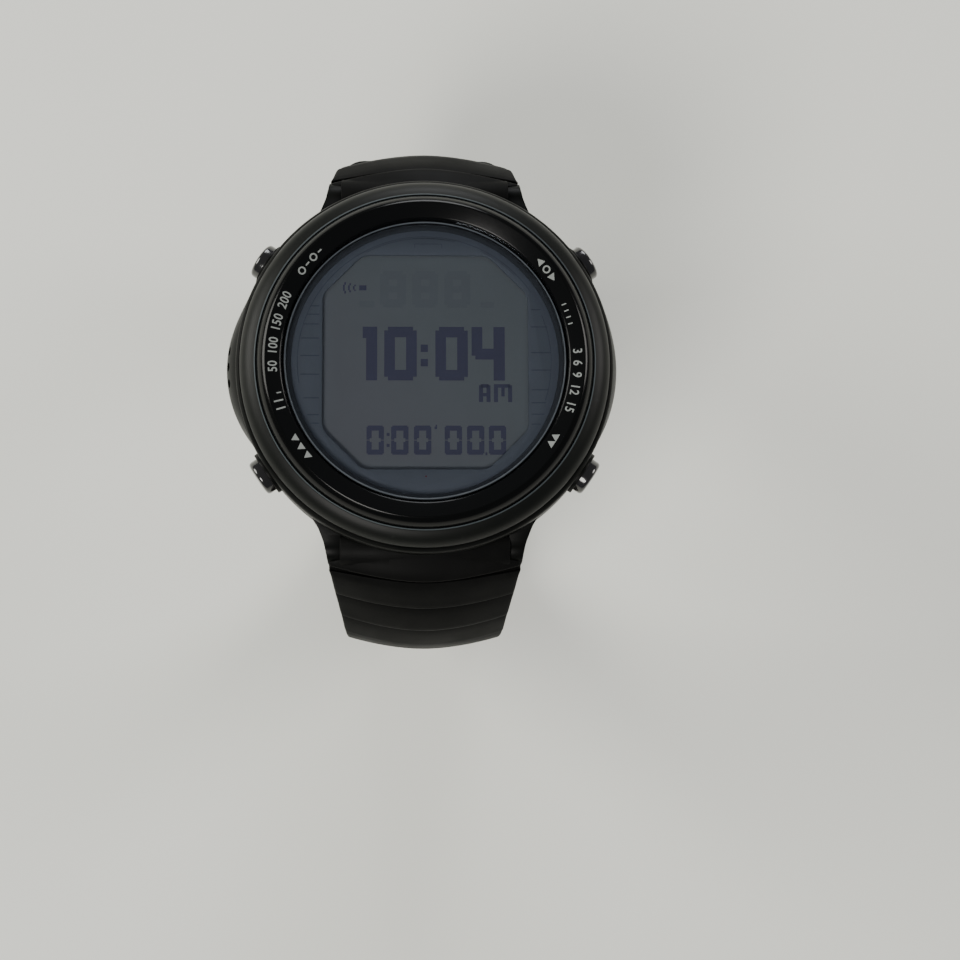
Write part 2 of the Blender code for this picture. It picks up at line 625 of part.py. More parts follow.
def inner_parts():
    """Everything between the case back and the lens."""
    mask = add_part("display_mask", disc(mask_radius, mask_z, mask_z + MASK_THICKNESS),
                    "dial_slate")
    window = eight_sided(WINDOW_HALF_X, WINDOW_HALF_Y, WINDOW_CORNER_X, WINDOW_CORNER_Y)
    boolean(mask, "guide_window", prism(window, mask_z - OVERRUN, lens_z + OVERRUN))
    panel = eight_sided(WINDOW_HALF_X + PANEL_BORDER, WINDOW_HALF_Y + PANEL_BORDER,
                        WINDOW_CORNER_X + PANEL_BORDER / 2, WINDOW_CORNER_Y + PANEL_BORDER / 2)
    add_part("lcd_panel", prism(panel, panel_z, panel_z + PANEL_THICKNESS), "panel_grey")
    add_part("backlight_plate", prism(panel, backlight_z, backlight_z + BACKLIGHT_THICKNESS),
             "diffuser_white")
    add_part("circuit_board", disc(module_radius, board_z, board_z + BOARD_THICKNESS),
             "board_green")
    arm = BATTERY_RADIUS - SEAT_GAP
    half = CONTACT_WIDTH / 2
    cross = [(arm, half), (half, half), (half, arm), (-half, arm), (-half, half), (-arm, half)]
    cross += [(-x, -y) for x, y in cross]
    add_part("battery_contact", prism(cross, contact_z, contact_z + CONTACT_THICKNESS),
             "bright_steel")
    add_part("battery", disc(BATTERY_RADIUS, battery_z, battery_z + BATTERY_THICKNESS),
             "bright_steel")
    add_part("buzzer_disc", disc(BUZZER_RADIUS, buzzer_z, buzzer_z + BUZZER_THICKNESS),
             "brass_disc")
    bore = BATTERY_RADIUS + SEAT_GAP
    neck = bore + MODULE_WALL
    shelf_z = cavity_floor_z + SEAT_GAP
    add_part("module_frame", turned([
        (bore, battery_z), (neck, battery_z), (neck, shelf_z), (module_radius, shelf_z),
        (module_radius, board_z - SEAT_GAP), (bore, board_z - SEAT_GAP),
    ]), "module_grey")
    coil_inner = module_radius + SEAT_GAP
    add_part("receiver_coil", washer(coil_inner, coil_inner + COIL_WIDTH, backlight_z,
                                     backlight_z + COIL_HEIGHT), "copper_wire")
    sensor_end = cover_seat_radius - SEAT_GAP
    sensor = disc(SENSOR_RADIUS, sensor_end - SENSOR_LENGTH, sensor_end, SMALL_SIDES)
    add_part("pressure_sensor", moved(sensor, radial(180, PORT_Z)), "bright_steel")


# ---------------------------------------------------------------- side covers

def cover_outline(bulge, inner_radius, grow=0.0):
    """A crescent about +X: its outer arc leaves the case radius and swells by bulge."""
    half = COVER_ANGLE + grow
    end_x = CASE_RADIUS * math.cos(math.radians(half))
    end_y = CASE_RADIUS * math.sin(math.radians(half))
    sagitta = CASE_RADIUS + bulge - end_x
    radius = (end_y ** 2 + sagitta ** 2) / (2 * sagitta)
    centre_x = CASE_RADIUS + bulge - radius
    sweep = math.degrees(math.asin(end_y / radius))
    outer = arc((centre_x, 0.0), radius, -sweep, sweep, COVER_STEPS)
    return outer + arc((0.0, 0.0), inner_radius, half, -half, COVER_STEPS)


def cover_seat(turn):
    """The recess in the case for one side cover."""
    half = COVER_ANGLE + math.degrees(SEAT_GAP / CASE_RADIUS)
    far = CASE_RADIUS + LEFT_COVER_BULGE + OVERRUN
    inner = arc((0.0, 0.0), cover_seat_radius - SEAT_GAP, half, -half, COVER_STEPS)
    outer = [(far * math.cos(math.radians(a)), far * math.sin(math.radians(a)))
             for a in (-half, half)]
    bm = prism(outer + inner, COVER_BOTTOM_Z - SEAT_GAP, cover_top_z + SEAT_GAP)
    return moved(bm, Matrix.Rotation(math.radians(turn), 4, "Z"))


def side_cover(name, turn, bulge):
    """One side cover with its two pegs."""
    height = cover_top_z - COVER_BOTTOM_Z
    levels = []
    for share, swell in COVER_LEVELS:
        outline = cover_outline(bulge * swell, cover_seat_radius)
        levels.append((COVER_BOTTOM_Z + height * share, outline))
    about = Matrix.Rotation(math.radians(turn), 4, "Z")
    cover = add_part(name, moved(stack(levels), about), "composite_black")
    for sign in (-1, 1):
        peg = disc(COVER_PEG_RADIUS, cover_seat_radius - COVER_PEG_LENGTH,
                   cover_seat_radius + COVER_THICKNESS / 2, PIN_SIDES)
        boolean(cover, f"guide_peg_{name}_{sign}",
                moved(peg, radial(turn + sign * COVER_PEG_ANGLE, PORT_Z)), "UNION")
    return cover


def covers():
    """Both side covers; the left one has ports in front of the pressure sensor."""
    side_cover("side_cover", 0, RIGHT_COVER_BULGE)
    left = side_cover("sensor_cover", 180, LEFT_COVER_BULGE)
    for i, place in enumerate(PORT_PLACES):
        port = disc(PORT_RADIUS, cover_seat_radius - OVERRUN,
                    CASE_RADIUS + LEFT_COVER_BULGE + OVERRUN, PIN_SIDES)
        slide = Matrix.Translation((0, place, 0))
        boolean(left, f"guide_port_{i + 1}", moved(port, slide @ radial(180, PORT_Z)))


# ---------------------------------------------------------------- buttons

def button_angles():
    """Name and angle from +X of each button."""
    return (("upper_right", BUTTON_ANGLE), ("lower_right", -BUTTON_ANGLE),
            ("lower_left", 180 + BUTTON_ANGLE), ("upper_left", 180 - BUTTON_ANGLE))


def button_bore(angle):
    """Cap well, spring pocket and stem bore in one tool."""
    far = CASE_RADIUS + COLLAR_STAND + OVERRUN
    near = cavity_radius - OVERRUN
    return moved(turned([
        (0.0, far), (cap_bore_radius, far), (cap_bore_radius, cap_floor_radius),
        (spring_bore_radius, cap_floor_radius), (spring_bore_radius, spring_floor_radius),
        (stem_bore_radius, spring_floor_radius), (stem_bore_radius, near), (0.0, near),
    ], SMALL_SIDES), radial(angle, button_z))


def button_parts():
    """Each push button with its spring, seal and retaining clip."""
    face = CASE_RADIUS + BUTTON_STAND
    groove = STEM_RADIUS - STEM_GROOVE
    groove_low = clip_z - SNUG_GAP
    groove_high = clip_z + CLIP_THICKNESS + SNUG_GAP
    tail = groove_low - STEM_TAIL / 2
    profile = [
        (0.0, face), (BUTTON_RADIUS - BUTTON_EDGE, face),
        (BUTTON_RADIUS - BUTTON_EDGE / 4, face - BUTTON_EDGE / 4),
        (BUTTON_RADIUS, face - BUTTON_EDGE), (BUTTON_RADIUS, cap_inner_radius),
        (STEM_RADIUS, cap_inner_radius), (STEM_RADIUS, groove_high), (groove, groove_high),
        (groove, groove_low), (STEM_RADIUS, groove_low), (STEM_RADIUS, tail), (0.0, tail),
    ]
    seal_low = spring_floor_radius + SEAT_GAP
    for name, angle in button_angles():
        place = radial(angle, button_z)
        origin = place @ Vector((0, 0, cap_inner_radius))
        add_part("button_" + name, moved(turned(profile, SMALL_SIDES), place), "polished_black",
                 origin)
        seal = washer(STEM_RADIUS + SNUG_GAP, spring_bore_radius - SNUG_GAP, seal_low,
                      seal_low + SEAL_THICKNESS, PIN_SIDES)
        add_part("button_seal_" + name, moved(seal, place), "rubber_seal")
        clip = washer(groove + SNUG_GAP, groove + SNUG_GAP + CLIP_WIDTH, clip_z,
                      clip_z + CLIP_THICKNESS, PIN_SIDES)
        add_part("button_clip_" + name, moved(clip, place), "bright_steel")
        spring = coil(seal_low + SEAL_THICKNESS + SEAT_GAP, cap_inner_radius - SEAT_GAP)
        add_part("button_spring_" + name, moved(spring, place), "bright_steel")


def coil(low, high):
    """A compression spring between two heights."""
    steps = int(SPRING_TURNS * PIN_SIDES)
    low += SPRING_WIRE_RADIUS
    high -= SPRING_WIRE_RADIUS
    bm = bmesh.new()
    rows = []
    for i in range(steps + 1):
        turn = math.tau * SPRING_TURNS * i / steps
        outward = Vector((math.cos(turn), math.sin(turn), 0.0))
        centre = outward * spring_mean_radius + Vector((0, 0, low + (high - low) * i / steps))
        row = []
        for k in range(WIRE_SIDES):
            angle = math.tau * k / WIRE_SIDES
            offset = outward * math.cos(angle) + Vector((0, 0, math.sin(angle)))
            row.append(bm.verts.new(centre + offset * SPRING_WIRE_RADIUS))
        rows.append(row)
    for first, second in zip(rows, rows[1:]):
        for k in range(WIRE_SIDES):
            j = (k + 1) % WIRE_SIDES
            bm.faces.new((first[k], first[j], second[j], second[k]))
    bm.faces.new(rows[0])
    bm.faces.new(rows[-1])
    return bm


# ---------------------------------------------------------------- strap

class Path:
    """A smooth curve in the YZ plane through chosen points, read by distance along it."""

    def __init__(self, points, outward, samples=16):
        """outward is 1 when the outer face is on the left of the direction of travel, else -1."""
        self.outward = outward
        first = tuple(2 * points[0][k] - points[1][k] for k in range(2))
        last = tuple(2 * points[-1][k] - points[-2][k] for k in range(2))
        knots = [Vector(p) for p in (first, *points, last)]
        self.points = []
        for a, b, c, d in zip(knots, knots[1:], knots[2:], knots[3:]):
            for i in range(samples):
                self.points.append(self.between(a, b, c, d, i / samples))
        self.points.append(knots[-2])
        self.marks = [0.0]
        for a, b in zip(self.points, self.points[1:]):
            self.marks.append(self.marks[-1] + (b - a).length)
        self.length = self.marks[-1]

    @staticmethod
    def between(a, b, c, d, t):
        """Catmull-Rom point between b and c."""
        return 0.5 * (2 * b + (c - a) * t + (2 * a - 5 * b + 4 * c - d) * t * t
                      + (3 * b - a - 3 * c + d) * t ** 3)

    def at(self, distance):
        """Point, direction and outward normal at a distance."""
        distance = min(max(distance, 0.0), self.length)
        i = 0
        while i < len(self.marks) - 2 and self.marks[i + 1] < distance:
            i += 1
        span = self.marks[i + 1] - self.marks[i]
        here = self.points[i].lerp(self.points[i + 1], (distance - self.marks[i]) / span)
        way = (self.points[i + 1] - self.points[i]).normalized()
        return here, way, Vector((-way.y, way.x)) * self.outward


def strap_path(end, face):
    """The outer face of a strap half: it leaves the pin's tube as a tangent."""
    slope = math.radians(STRAP_SLOPE)
    start = (end * (pin_out + TUBE_RADIUS * math.sin(slope)), PIN_Z + TUBE_RADIUS * math.cos(slope))
    placed = [(end * pin_out + y, z) for y, z in face]
    return Path((start, *placed), 1 if end > 0 else -1)


def read_widths(widths, distance):
    """Half width at a distance, by straight steps between the given ones."""
    if distance <= widths[0][0]:
        return widths[0][1]
    for (s0, w0), (s1, w1) in zip(widths, widths[1:]):
        if distance <= s1:
            return w0 + (w1 - w0) * (distance - s0) / (s1 - s0)
    return widths[-1][1]


def thickness_at(distance, ribs):
    """Strap thickness: thick at the pin, thin past the ribs."""
    share = min(distance / ribs[-1], 1.0)
    return STRAP_ROOT_THICKNESS + (STRAP_THICKNESS - STRAP_ROOT_THICKNESS) * share


def strap_sections(path, ribs, widths, tip):
    """Sections along one half: (distance, half width, drop of the outer face, thickness, bow)."""
    sections = [(0.0, tongue_root_half, SNUG_GAP, STRAP_ROOT_THICKNESS, 0.0),
                (ribs[0] / 3, tongue_root_half, 0.0, STRAP_ROOT_THICKNESS, FIRST_RIB_BOW / 3)]
    for i, edge in enumerate(ribs):
        half = tongue_root_half if i == 0 else read_widths(widths, edge)
        bow = FIRST_RIB_BOW if i == 0 else RIB_BOW
        thick = thickness_at(edge, ribs)
        after = SHOULDER_BOW if i == 0 else bow
        wide = read_widths(widths, edge)
        sections += [
            (edge, half, 0.0, thick, bow),
            (edge + STEP_RUN, half, RIB_DEPTH, thick, bow),
            (edge + RIB_GAP, half, RIB_DEPTH, thick, after),
            (edge + RIB_GAP + STEP_RUN, wide, RIB_DEPTH, thick, after),
            (edge + RIB_GAP + 2 * STEP_RUN, wide, RIB_LIFT, thick, after),
        ]
    start = ribs[-1] + RIB_GAP + 2 * STEP_RUN
    stop = path.length - (TIP_LENGTH if tip else 0.0)
    count = math.ceil((stop - start) / STRAP_STATION)
    for i in range(1, count + 1):
        distance = start + (stop - start) * i / count
        bow = RIB_BOW * max(0.0, 1 - i / BOW_FADE_STEPS)
        sections.append((distance, read_widths(widths, distance), 0.0, STRAP_THICKNESS, bow))
    if tip:
        wide = read_widths(widths, stop)
        for i in range(1, TIP_STEPS + 1):
            share = i / TIP_STEPS
            half = TIP_HALF + (wide - TIP_HALF) * math.sqrt(1 - share ** 2)
            sections.append((stop + TIP_LENGTH * share, half, 0.0, STRAP_THICKNESS, 0.0))
    return sections


def strap_loft(path, sections):
    """The strip through the sections."""
    bm = bmesh.new()
    rows = []
    for distance, half, drop, thick, bow in sections:
        outer = []
        inner = []
        for u in ACROSS:
            here, _, normal = path.at(distance - bow * u * u)
            high = here - normal * drop
            low = here - normal * thick
            outer.append(bm.verts.new((u * half, high.x, high.y)))
            inner.append(bm.verts.new((u * half, low.x, low.y)))
        rows.append((outer, inner))
    last = len(ACROSS) - 1
    for (outer, inner), (next_outer, next_inner) in zip(rows, rows[1:]):
        for k in range(last):
            bm.faces.new((outer[k], outer[k + 1], next_outer[k + 1], next_outer[k]))
            bm.faces.new((inner[k], inner[k + 1], next_inner[k + 1], next_inner[k]))
        for k in (0, last):
            bm.faces.new((outer[k], next_outer[k], next_inner[k], inner[k]))
    for outer, inner in (rows[0], rows[-1]):
        for k in range(last):
            bm.faces.new((outer[k], outer[k + 1], inner[k + 1], inner[k]))
    bmesh.ops.triangulate(bm, faces=bm.faces)
    return bm


def across_strap(path, distance, depth=0.0):
    """Carries X to X, Y to the outward normal and Z along the strap at a distance."""
    here, way, normal = path.at(distance)
    spot = here - normal * depth
    return Matrix(((1, 0, 0, 0), (0, normal.x, way.x, spot.x), (0, normal.y, way.y, spot.y),
                   (0, 0, 0, 1)))


def strap_half(name, end, path, ribs, widths, tip, more_tubes, slots, more_bores):
    """One strap half on its pin; more_tubes are joined to it, slots and more_bores cut it."""
    sections = strap_sections(path, ribs, widths, tip)
    origin = (0.0, end * pin_out, PIN_Z)
    half = add_part("strap_" + name, strap_loft(path, sections), "elastomer_black", origin)
    about_pin = along_x(end * pin_out, PIN_Z)
    tube_half = tongue_root_half - SEAT_GAP
    tubes = [moved(disc(TUBE_RADIUS, -tube_half, tube_half, SMALL_SIDES), about_pin)]
    boolean(half, "guide_tubes_" + name, joined(tubes + more_tubes), "UNION")
    if slots:
        boolean(half, "guide_slots_" + name, joined(slots))
    bores = [moved(disc(pin_bore_radius, -EAR_ROOT_HALF, EAR_ROOT_HALF, PIN_SIDES), about_pin)]
    boolean(half, "guide_bores_" + name, joined(bores + more_bores))
    pin = disc(PIN_RADIUS, -pin_half, pin_half, PIN_SIDES)
    add_part("strap_pin_" + name, moved(pin, about_pin), "bright_steel")
    return half


def lower_strap():
    """The long half, with its adjustment holes and round tip."""
    path = strap_path(-1, LOWER_FACE)
    holes = []
    for i in range(HOLES):
        hole = disc(HOLE_RADIUS, -OVERRUN, STRAP_THICKNESS + OVERRUN, PIN_SIDES)
        place = across_strap(path, path.length - HOLE_END - i * HOLE_PITCH)
        lay = Matrix.Rotation(math.radians(90), 4, "X")
        holes.append(moved(hole, place @ lay))
    strap_half("lower", -1, path, LOWER_RIBS, LOWER_WIDTHS, True, [], [], holes)


def upper_strap():
    """The short half, with the keepers and the buckle."""
    path = strap_path(1, UPPER_FACE)
    end_half = UPPER_WIDTHS[-1][1]
    here, _, normal = path.at(path.length - BUCKLE_HUB_INSET)
    hub = here - normal * STRAP_THICKNESS / 2
    about_hub = along_x(hub.x, hub.y)
    tube_half = end_half - SEAT_GAP
    tube = disc(BUCKLE_TUBE_RADIUS, -tube_half, tube_half, PIN_SIDES)
    bore = disc(buckle_bore_radius, -end_half - OVERRUN, end_half + OVERRUN, PIN_SIDES)
    slot_half = TONGUE_HALF_WIDTH + STRAP_GAP
    slot = box((-slot_half, -3 * OVERRUN, -TONGUE_SLOT_DEPTH), (slot_half, 2 * OVERRUN, 2 * OVERRUN))
    strap_half("upper", 1, path, UPPER_RIBS, UPPER_WIDTHS, False, [moved(tube, about_hub)],
               [moved(slot, across_strap(path, path.length))], [moved(bore, about_hub)])
    pin = disc(BUCKLE_PIN_RADIUS, -buckle_pin_half, buckle_pin_half, PIN_SIDES)
    add_part("buckle_pin", moved(pin, about_hub), "coated_steel")
    keeper("keeper_free", path, FREE_KEEPER_AT)
    keeper("keeper_fixed", path, FIXED_KEEPER_AT)
    buckle(hub)


def keeper(name, path, distance):
    """A band round the strap that leaves room for the other half over the outer face."""
    half = read_widths(UPPER_WIDTHS, distance - KEEPER_LENGTH) + STRAP_GAP
    low = -STRAP_THICKNESS - STRAP_GAP
    high = KEEPER_ROOM
    inner = rounded_box(half, low, high, KEEPER_CORNER / 2)
    outer = rounded_box(half + KEEPER_WALL, low - KEEPER_WALL, high + KEEPER_WALL, KEEPER_CORNER)
    band = ring_prism(outer, inner, -KEEPER_LENGTH / 2, KEEPER_LENGTH / 2)
    place = across_strap(path, distance)
    add_part(name, moved(band, place), "elastomer_black", place.translation)


def buckle(hub):
    """Frame and tongue, hanging straight down from the buckle pin at hub."""
    origin = (0.0, hub.x, hub.y)
    move = Matrix.Translation(origin)
    crown = arc((0.0, 0.0), BUCKLE_EYE_RADIUS, 0, 180, BUCKLE_CROWN_STEPS)
    outline = crown + [(BUCKLE_BAR_INNER, -BUCKLE_REACH + BUCKLE_BAR),
                       (BUCKLE_BAR_INNER, -BUCKLE_REACH), (BUCKLE_BAR_OUTER, -BUCKLE_REACH),
                       (BUCKLE_BAR_OUTER, -BUCKLE_REACH + BUCKLE_BAR)]
    frame = add_part("buckle_frame", moved(side_prism(outline, buckle_outer_half), move),
                     "coated_steel", origin)
    window = box((-buckle_inner_half, -2 * OVERRUN, -BUCKLE_REACH + BUCKLE_BAR),
                 (buckle_inner_half, 2 * OVERRUN, 2 * OVERRUN))
    boolean(frame, "guide_buckle_window", moved(window, move))
    bore = disc(buckle_bore_radius, -buckle_bore_half, buckle_bore_half, PIN_SIDES)
    boolean(frame, "guide_buckle_bore", moved(bore, along_x(hub.x, hub.y)))
    near = BUCKLE_BAR_OUTER + SEAT_GAP
    far = near + TONGUE_THICKNESS
    tip = -BUCKLE_REACH - SEAT_GAP
    blade = [(near, -BUCKLE_REACH + BUCKLE_BAR + OVERRUN), (near, tip), (far, tip),
             (far, -BUCKLE_REACH / 2)]
    eye = arc((0.0, 0.0), BUCKLE_TUBE_RADIUS, 0, TONGUE_EYE_SWEEP, TONGUE_EYE_STEPS)
    tongue = add_part("buckle_tongue", moved(side_prism(eye + blade, TONGUE_HALF_WIDTH), move),
                      "coated_steel", origin)
    eye_bore = disc(buckle_bore_radius, -OVERRUN, OVERRUN, PIN_SIDES)
    boolean(tongue, "guide_tongue_eye", moved(eye_bore, along_x(hub.x, hub.y)))


def main():
    """Build the whole assembly."""
    clear_scene()
    case_body()
    back_parts()
    bezel_parts()
    inner_parts()
    covers()
    button_parts()
    lower_strap()
    upper_strap()


main()
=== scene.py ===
import json
import math

import bmesh
import bpy
from mathutils import Matrix, Vector


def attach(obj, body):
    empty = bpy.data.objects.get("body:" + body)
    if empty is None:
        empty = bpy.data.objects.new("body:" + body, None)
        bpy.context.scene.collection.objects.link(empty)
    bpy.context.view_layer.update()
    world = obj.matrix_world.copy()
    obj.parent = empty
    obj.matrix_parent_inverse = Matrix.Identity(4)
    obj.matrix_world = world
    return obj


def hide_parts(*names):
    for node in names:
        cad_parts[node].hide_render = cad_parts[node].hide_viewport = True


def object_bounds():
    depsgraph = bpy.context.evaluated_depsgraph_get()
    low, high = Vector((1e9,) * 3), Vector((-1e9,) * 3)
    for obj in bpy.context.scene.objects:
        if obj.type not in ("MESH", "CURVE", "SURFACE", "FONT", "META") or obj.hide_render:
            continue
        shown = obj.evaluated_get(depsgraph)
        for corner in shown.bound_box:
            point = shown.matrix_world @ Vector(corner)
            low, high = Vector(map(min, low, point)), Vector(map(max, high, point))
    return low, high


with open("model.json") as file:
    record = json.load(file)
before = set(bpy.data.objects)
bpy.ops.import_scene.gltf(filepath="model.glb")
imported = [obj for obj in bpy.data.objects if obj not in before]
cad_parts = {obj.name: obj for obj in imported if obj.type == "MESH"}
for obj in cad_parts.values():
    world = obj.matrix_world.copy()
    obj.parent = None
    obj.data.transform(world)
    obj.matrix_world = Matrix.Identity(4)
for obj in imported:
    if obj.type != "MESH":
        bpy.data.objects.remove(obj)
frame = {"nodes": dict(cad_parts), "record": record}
cad_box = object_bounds()

MM = 0.001
CASE = "case"

# The case, in millimetres from the centre of its back
CASE_RADIUS = 24.75
CASE_TOP = 11.6
BEZEL_FOOT = 12.1
BEZEL_RIM = 24.1
CREST = (22.0, 14.3)
LEGEND_OUTER = (20.49, 15.97)
LEGEND_INNER = (18.63, 15.45)
LENS_BORE = 18.5
LENS_RADIUS = 18.2
LENS_FOOT = 13.6
LENS_TOP = 14.9
MASK_RADIUS = 17.36
MASK_FOOT = 12.7
MASK_TOP = 13.3
PANEL_FOOT = 10.7
PANEL_TOP = 12.4
WINDOW = ((13.35, 9.0), (8.05, 14.1))

BUTTONS = {"upper_right": 34, "lower_right": -34, "lower_left": 214, "upper_left": 146}
BUTTON_Z = 7.8
BUTTON_RADIUS = 2.4
BUTTON_FACE = 26.4
COLLAR_RADIUS = 2.95
COLLAR_FACE = 25.1

PIN_OUT = 23.6
PIN_Z = 5.7
TUBE_RADIUS = 2.6
EAR_INNER = 11.35
EAR_ROOT = 15.1
EAR_PLAN = ((18.0, 15.9), (19.4, 15.1), (20.5, 14.3), (21.6, 13.8), (23.1, 13.25), (24.2, 12.97),
            (25.7, 12.75))

# The strap halves: outer face in (y, z) from the pin's tube on, and the rib edges along it
LOWER_FACE = (
    (-24.74, 8.037), (-28.3, 6.3), (-31.5, 1.5), (-34.2, -3.5), (-36.0, -9.5), (-36.1, -16.0),
    (-35.0, -25.5), (-32.6, -35.5), (-28.6, -45.0), (-22.4, -53.0), (-14.0, -58.2), (-5.0, -60.0),
    (6.0, -60.0), (20.0, -60.0), (38.0, -60.0),
)
LOWER_RIBS = (4.0, 9.8, 15.5, 21.6, 27.6)
LOWER_WIDTHS = ((4.0, 12.65), (9.8, 12.0), (15.5, 11.35), (21.6, 10.95), (45.0, 10.4), (140.0, 10.0))
UPPER_FACE = (
    (24.74, 8.037), (27.95, 6.3), (30.75, 2.4), (32.1, -1.7), (33.1, -8.0), (33.03, -14.0),
    (32.6, -19.0), (32.17, -24.0), (31.74, -29.0), (30.3, -33.3), (27.9, -36.6), (25.6, -38.8),
)
UPPER_RIBS = (3.6, 8.6, 13.4, 18.2)
UPPER_WIDTHS = ((3.6, 12.65), (8.6, 12.0), (13.4, 11.4), (22.0, 10.7), (32.0, 10.05), (140.0, 10.05))
ROOT_HALF = 11.22
ROOT_THICKNESS = 3.2
STRAP_THICKNESS = 2.3
RIB_DEPTH = 0.9
RIB_LIFT = 0.4
RIB_BOW = 1.2
FIRST_BOW = 2.3
CROWN = ((0.0, 0.4), (4.0, 1.5), (10.0, 2.0), (15.0, 2.3))
CROWN_ENDS = {"lower": (32.0, 58.0), "upper": (14.5, 25.0)}
CROWN_HALF = 11.6
INNER_CROWN = 0.5
TIP_LENGTH = 9.0
TIP_HALF = 3.0
HOLE_RADIUS = 1.3
HOLE_PITCH = 6.5
HOLE_END = 16.0
HOLES = 10
KEEPERS = {"keeper_free": 34.0, "keeper_fixed": 40.6}
HUB_INSET = 0.5


# ---------------------------------------------------------------- modelling by hand

def start(primitive, **size):
    """Add a primitive on its own and open it for editing, all selected, its place in its mesh."""
    bpy.ops.object.select_all(action="DESELECT")
    primitive(**size)
    bpy.ops.object.transform_apply(location=True, rotation=True, scale=True)
    bpy.ops.object.mode_set(mode="EDIT")
    bpy.ops.mesh.select_all(action="SELECT")
    return bpy.context.object


def close():
    """Back to object mode."""
    if bpy.context.object.mode == "EDIT":
        bpy.ops.object.mode_set(mode="OBJECT")
    return bpy.context.object


def activate(piece):
    """Select this piece alone and make it the active one."""
    bpy.ops.object.select_all(action="DESELECT")
    piece.select_set(True)
    bpy.context.view_layer.objects.active = piece


def pick(kind, test):
    """Select the vertices, edges or faces whose middle passes the test, and nothing else."""
    mesh = bpy.context.object.data
    bpy.ops.mesh.select_mode(type=kind)
    bpy.ops.mesh.select_all(action="DESELECT")
    shape = bmesh.from_edit_mesh(mesh)
    if kind == "VERT":
        hits = [v for v in shape.verts if test(v.co)]
    elif kind == "EDGE":
        hits = [e for e in shape.edges if test(*(v.co for v in e.verts))]
    else:
        hits = [f for f in shape.faces if test(f.calc_center_median(), f.normal)]
    for hit in hits:
        hit.select_set(True)
    shape.select_flush_mode()
    bmesh.update_edit_mesh(mesh)


def shift(x=0.0, y=0.0, z=0.0):
    bpy.ops.transform.translate(value=(x, y, z))


def scale(x=1.0, y=1.0, z=1.0, about=(0.0, 0.0, 0.0)):
    bpy.ops.transform.resize(value=(x, y, z), center_override=about)


def pull(x=0.0, y=0.0, z=0.0):
    """Extrude the selected faces or edges and move what comes out."""
    bpy.ops.mesh.extrude_region_move(TRANSFORM_OT_translate={"value": (x, y, z)})


def tidy():
    """Merge doubles and turn all faces outwards."""
    bpy.ops.mesh.select_all(action="SELECT")
    bpy.ops.mesh.remove_doubles(threshold=0.0005)
    bpy.ops.mesh.normals_make_consistent(inside=False)


def modify(piece, kind, **settings):
    """Put a modifier on the piece and apply it."""
    close()
    activate(piece)
    modifier = piece.modifiers.new(kind.title(), kind)
    for name, value in settings.items():
        setattr(modifier, name, value)
    bpy.ops.object.modifier_apply(modifier=modifier.name)
    return piece


def round_edges(piece, width, segments=3, angle=35):
    """Round every edge sharper than the angle."""
    return modify(piece, "BEVEL", width=width, segments=segments, limit_method="ANGLE",
                  angle_limit=math.radians(angle))


def carve(piece, tools, operation="DIFFERENCE"):
    """Cut the piece with tools, or join them to it, and drop the tools."""
    tool = join(tools)
    modify(piece, "BOOLEAN", object=tool, operation=operation, solver="EXACT", use_self=True)
    bpy.data.objects.remove(tool)
    return piece


def join(pieces):
    """Several objects in one."""
    close()
    bpy.ops.object.select_all(action="DESELECT")
    for piece in pieces:
        piece.select_set(True)
    bpy.context.view_layer.objects.active = pieces[0]
    if len(pieces) > 1:
        bpy.ops.object.join()
    return bpy.context.object


def copy(piece, matrix=Matrix()):
    """A copy with its own mesh, moved by a matrix."""
    twin = piece.copy()
    twin.data = piece.data.copy()
    bpy.context.collection.objects.link(twin)
    return place(twin, matrix)


def place(piece, matrix):
    """Move a piece by a matrix and put its place in its mesh."""
    close()
    activate(piece)
    piece.matrix_world = matrix @ piece.matrix_world
    bpy.ops.object.transform_apply(location=True, rotation=True, scale=True)
    if matrix.determinant() < 0:
        bpy.ops.object.mode_set(mode="EDIT")
        bpy.ops.mesh.select_all(action="SELECT")
        bpy.ops.mesh.normals_make_consistent(inside=False)
        close()
    return piece


def rings(profile, sides=192, loop=False):
    """A turned piece: a circle drawn out ring by ring through (radius, height), ends closed."""
    radius, height = profile[0]
    piece = start(bpy.ops.mesh.primitive_circle_add, vertices=sides, radius=radius,
                  location=(0, 0, height))
    bpy.ops.mesh.select_mode(type="EDGE")
    if not loop:
        bpy.ops.mesh.edge_face_add()
    steps = list(profile) + ([profile[0]] if loop else [])
    for (r0, z0), (r1, z1) in zip(steps, steps[1:]):
        pull(z=z1 - z0)
        scale(r1 / r0, r1 / r0, 1, about=(0, 0, z1))
    tidy()
    close()
    return piece


def curve(first, bend, last, count=8):
    """Points on a quadratic curve from first to last, drawn towards bend."""
    points = []
    for i in range(count + 1):
        t = i / count
        points.append(tuple((1 - t) ** 2 * a + 2 * t * (1 - t) * b + t * t * c
                            for a, b, c in zip(first, bend, last)))
    return points


def block(low, high):
    """A box between two corners."""
    middle = [(a + b) / 2 for a, b in zip(low, high)]
    size = [b - a for a, b in zip(low, high)]
    piece = start(bpy.ops.mesh.primitive_cube_add, size=1, location=middle, scale=size)
    close()
    return piece


def rod(radius, low, high, sides=48):
    """A straight rod along Z from low to high."""
    piece = start(bpy.ops.mesh.primitive_cylinder_add, vertices=sides, radius=radius,
                  depth=high - low, location=(0, 0, (low + high) / 2))
    close()
    return piece


def finished(piece, name, look, body=CASE, nodes=(), smooth=32):
    """Name a piece, bring it to metres, dress it and let it ride on its body."""
    close()
    place(piece, Matrix.Scale(MM, 4))
    bpy.ops.object.shade_smooth_by_angle(angle=math.radians(smooth))
    piece.name = piece.data.name = name
    piece.data.materials.clear()
    piece.data.materials.append(look)
    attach(piece, body)
    if nodes:
        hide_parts(*nodes)
    return piece


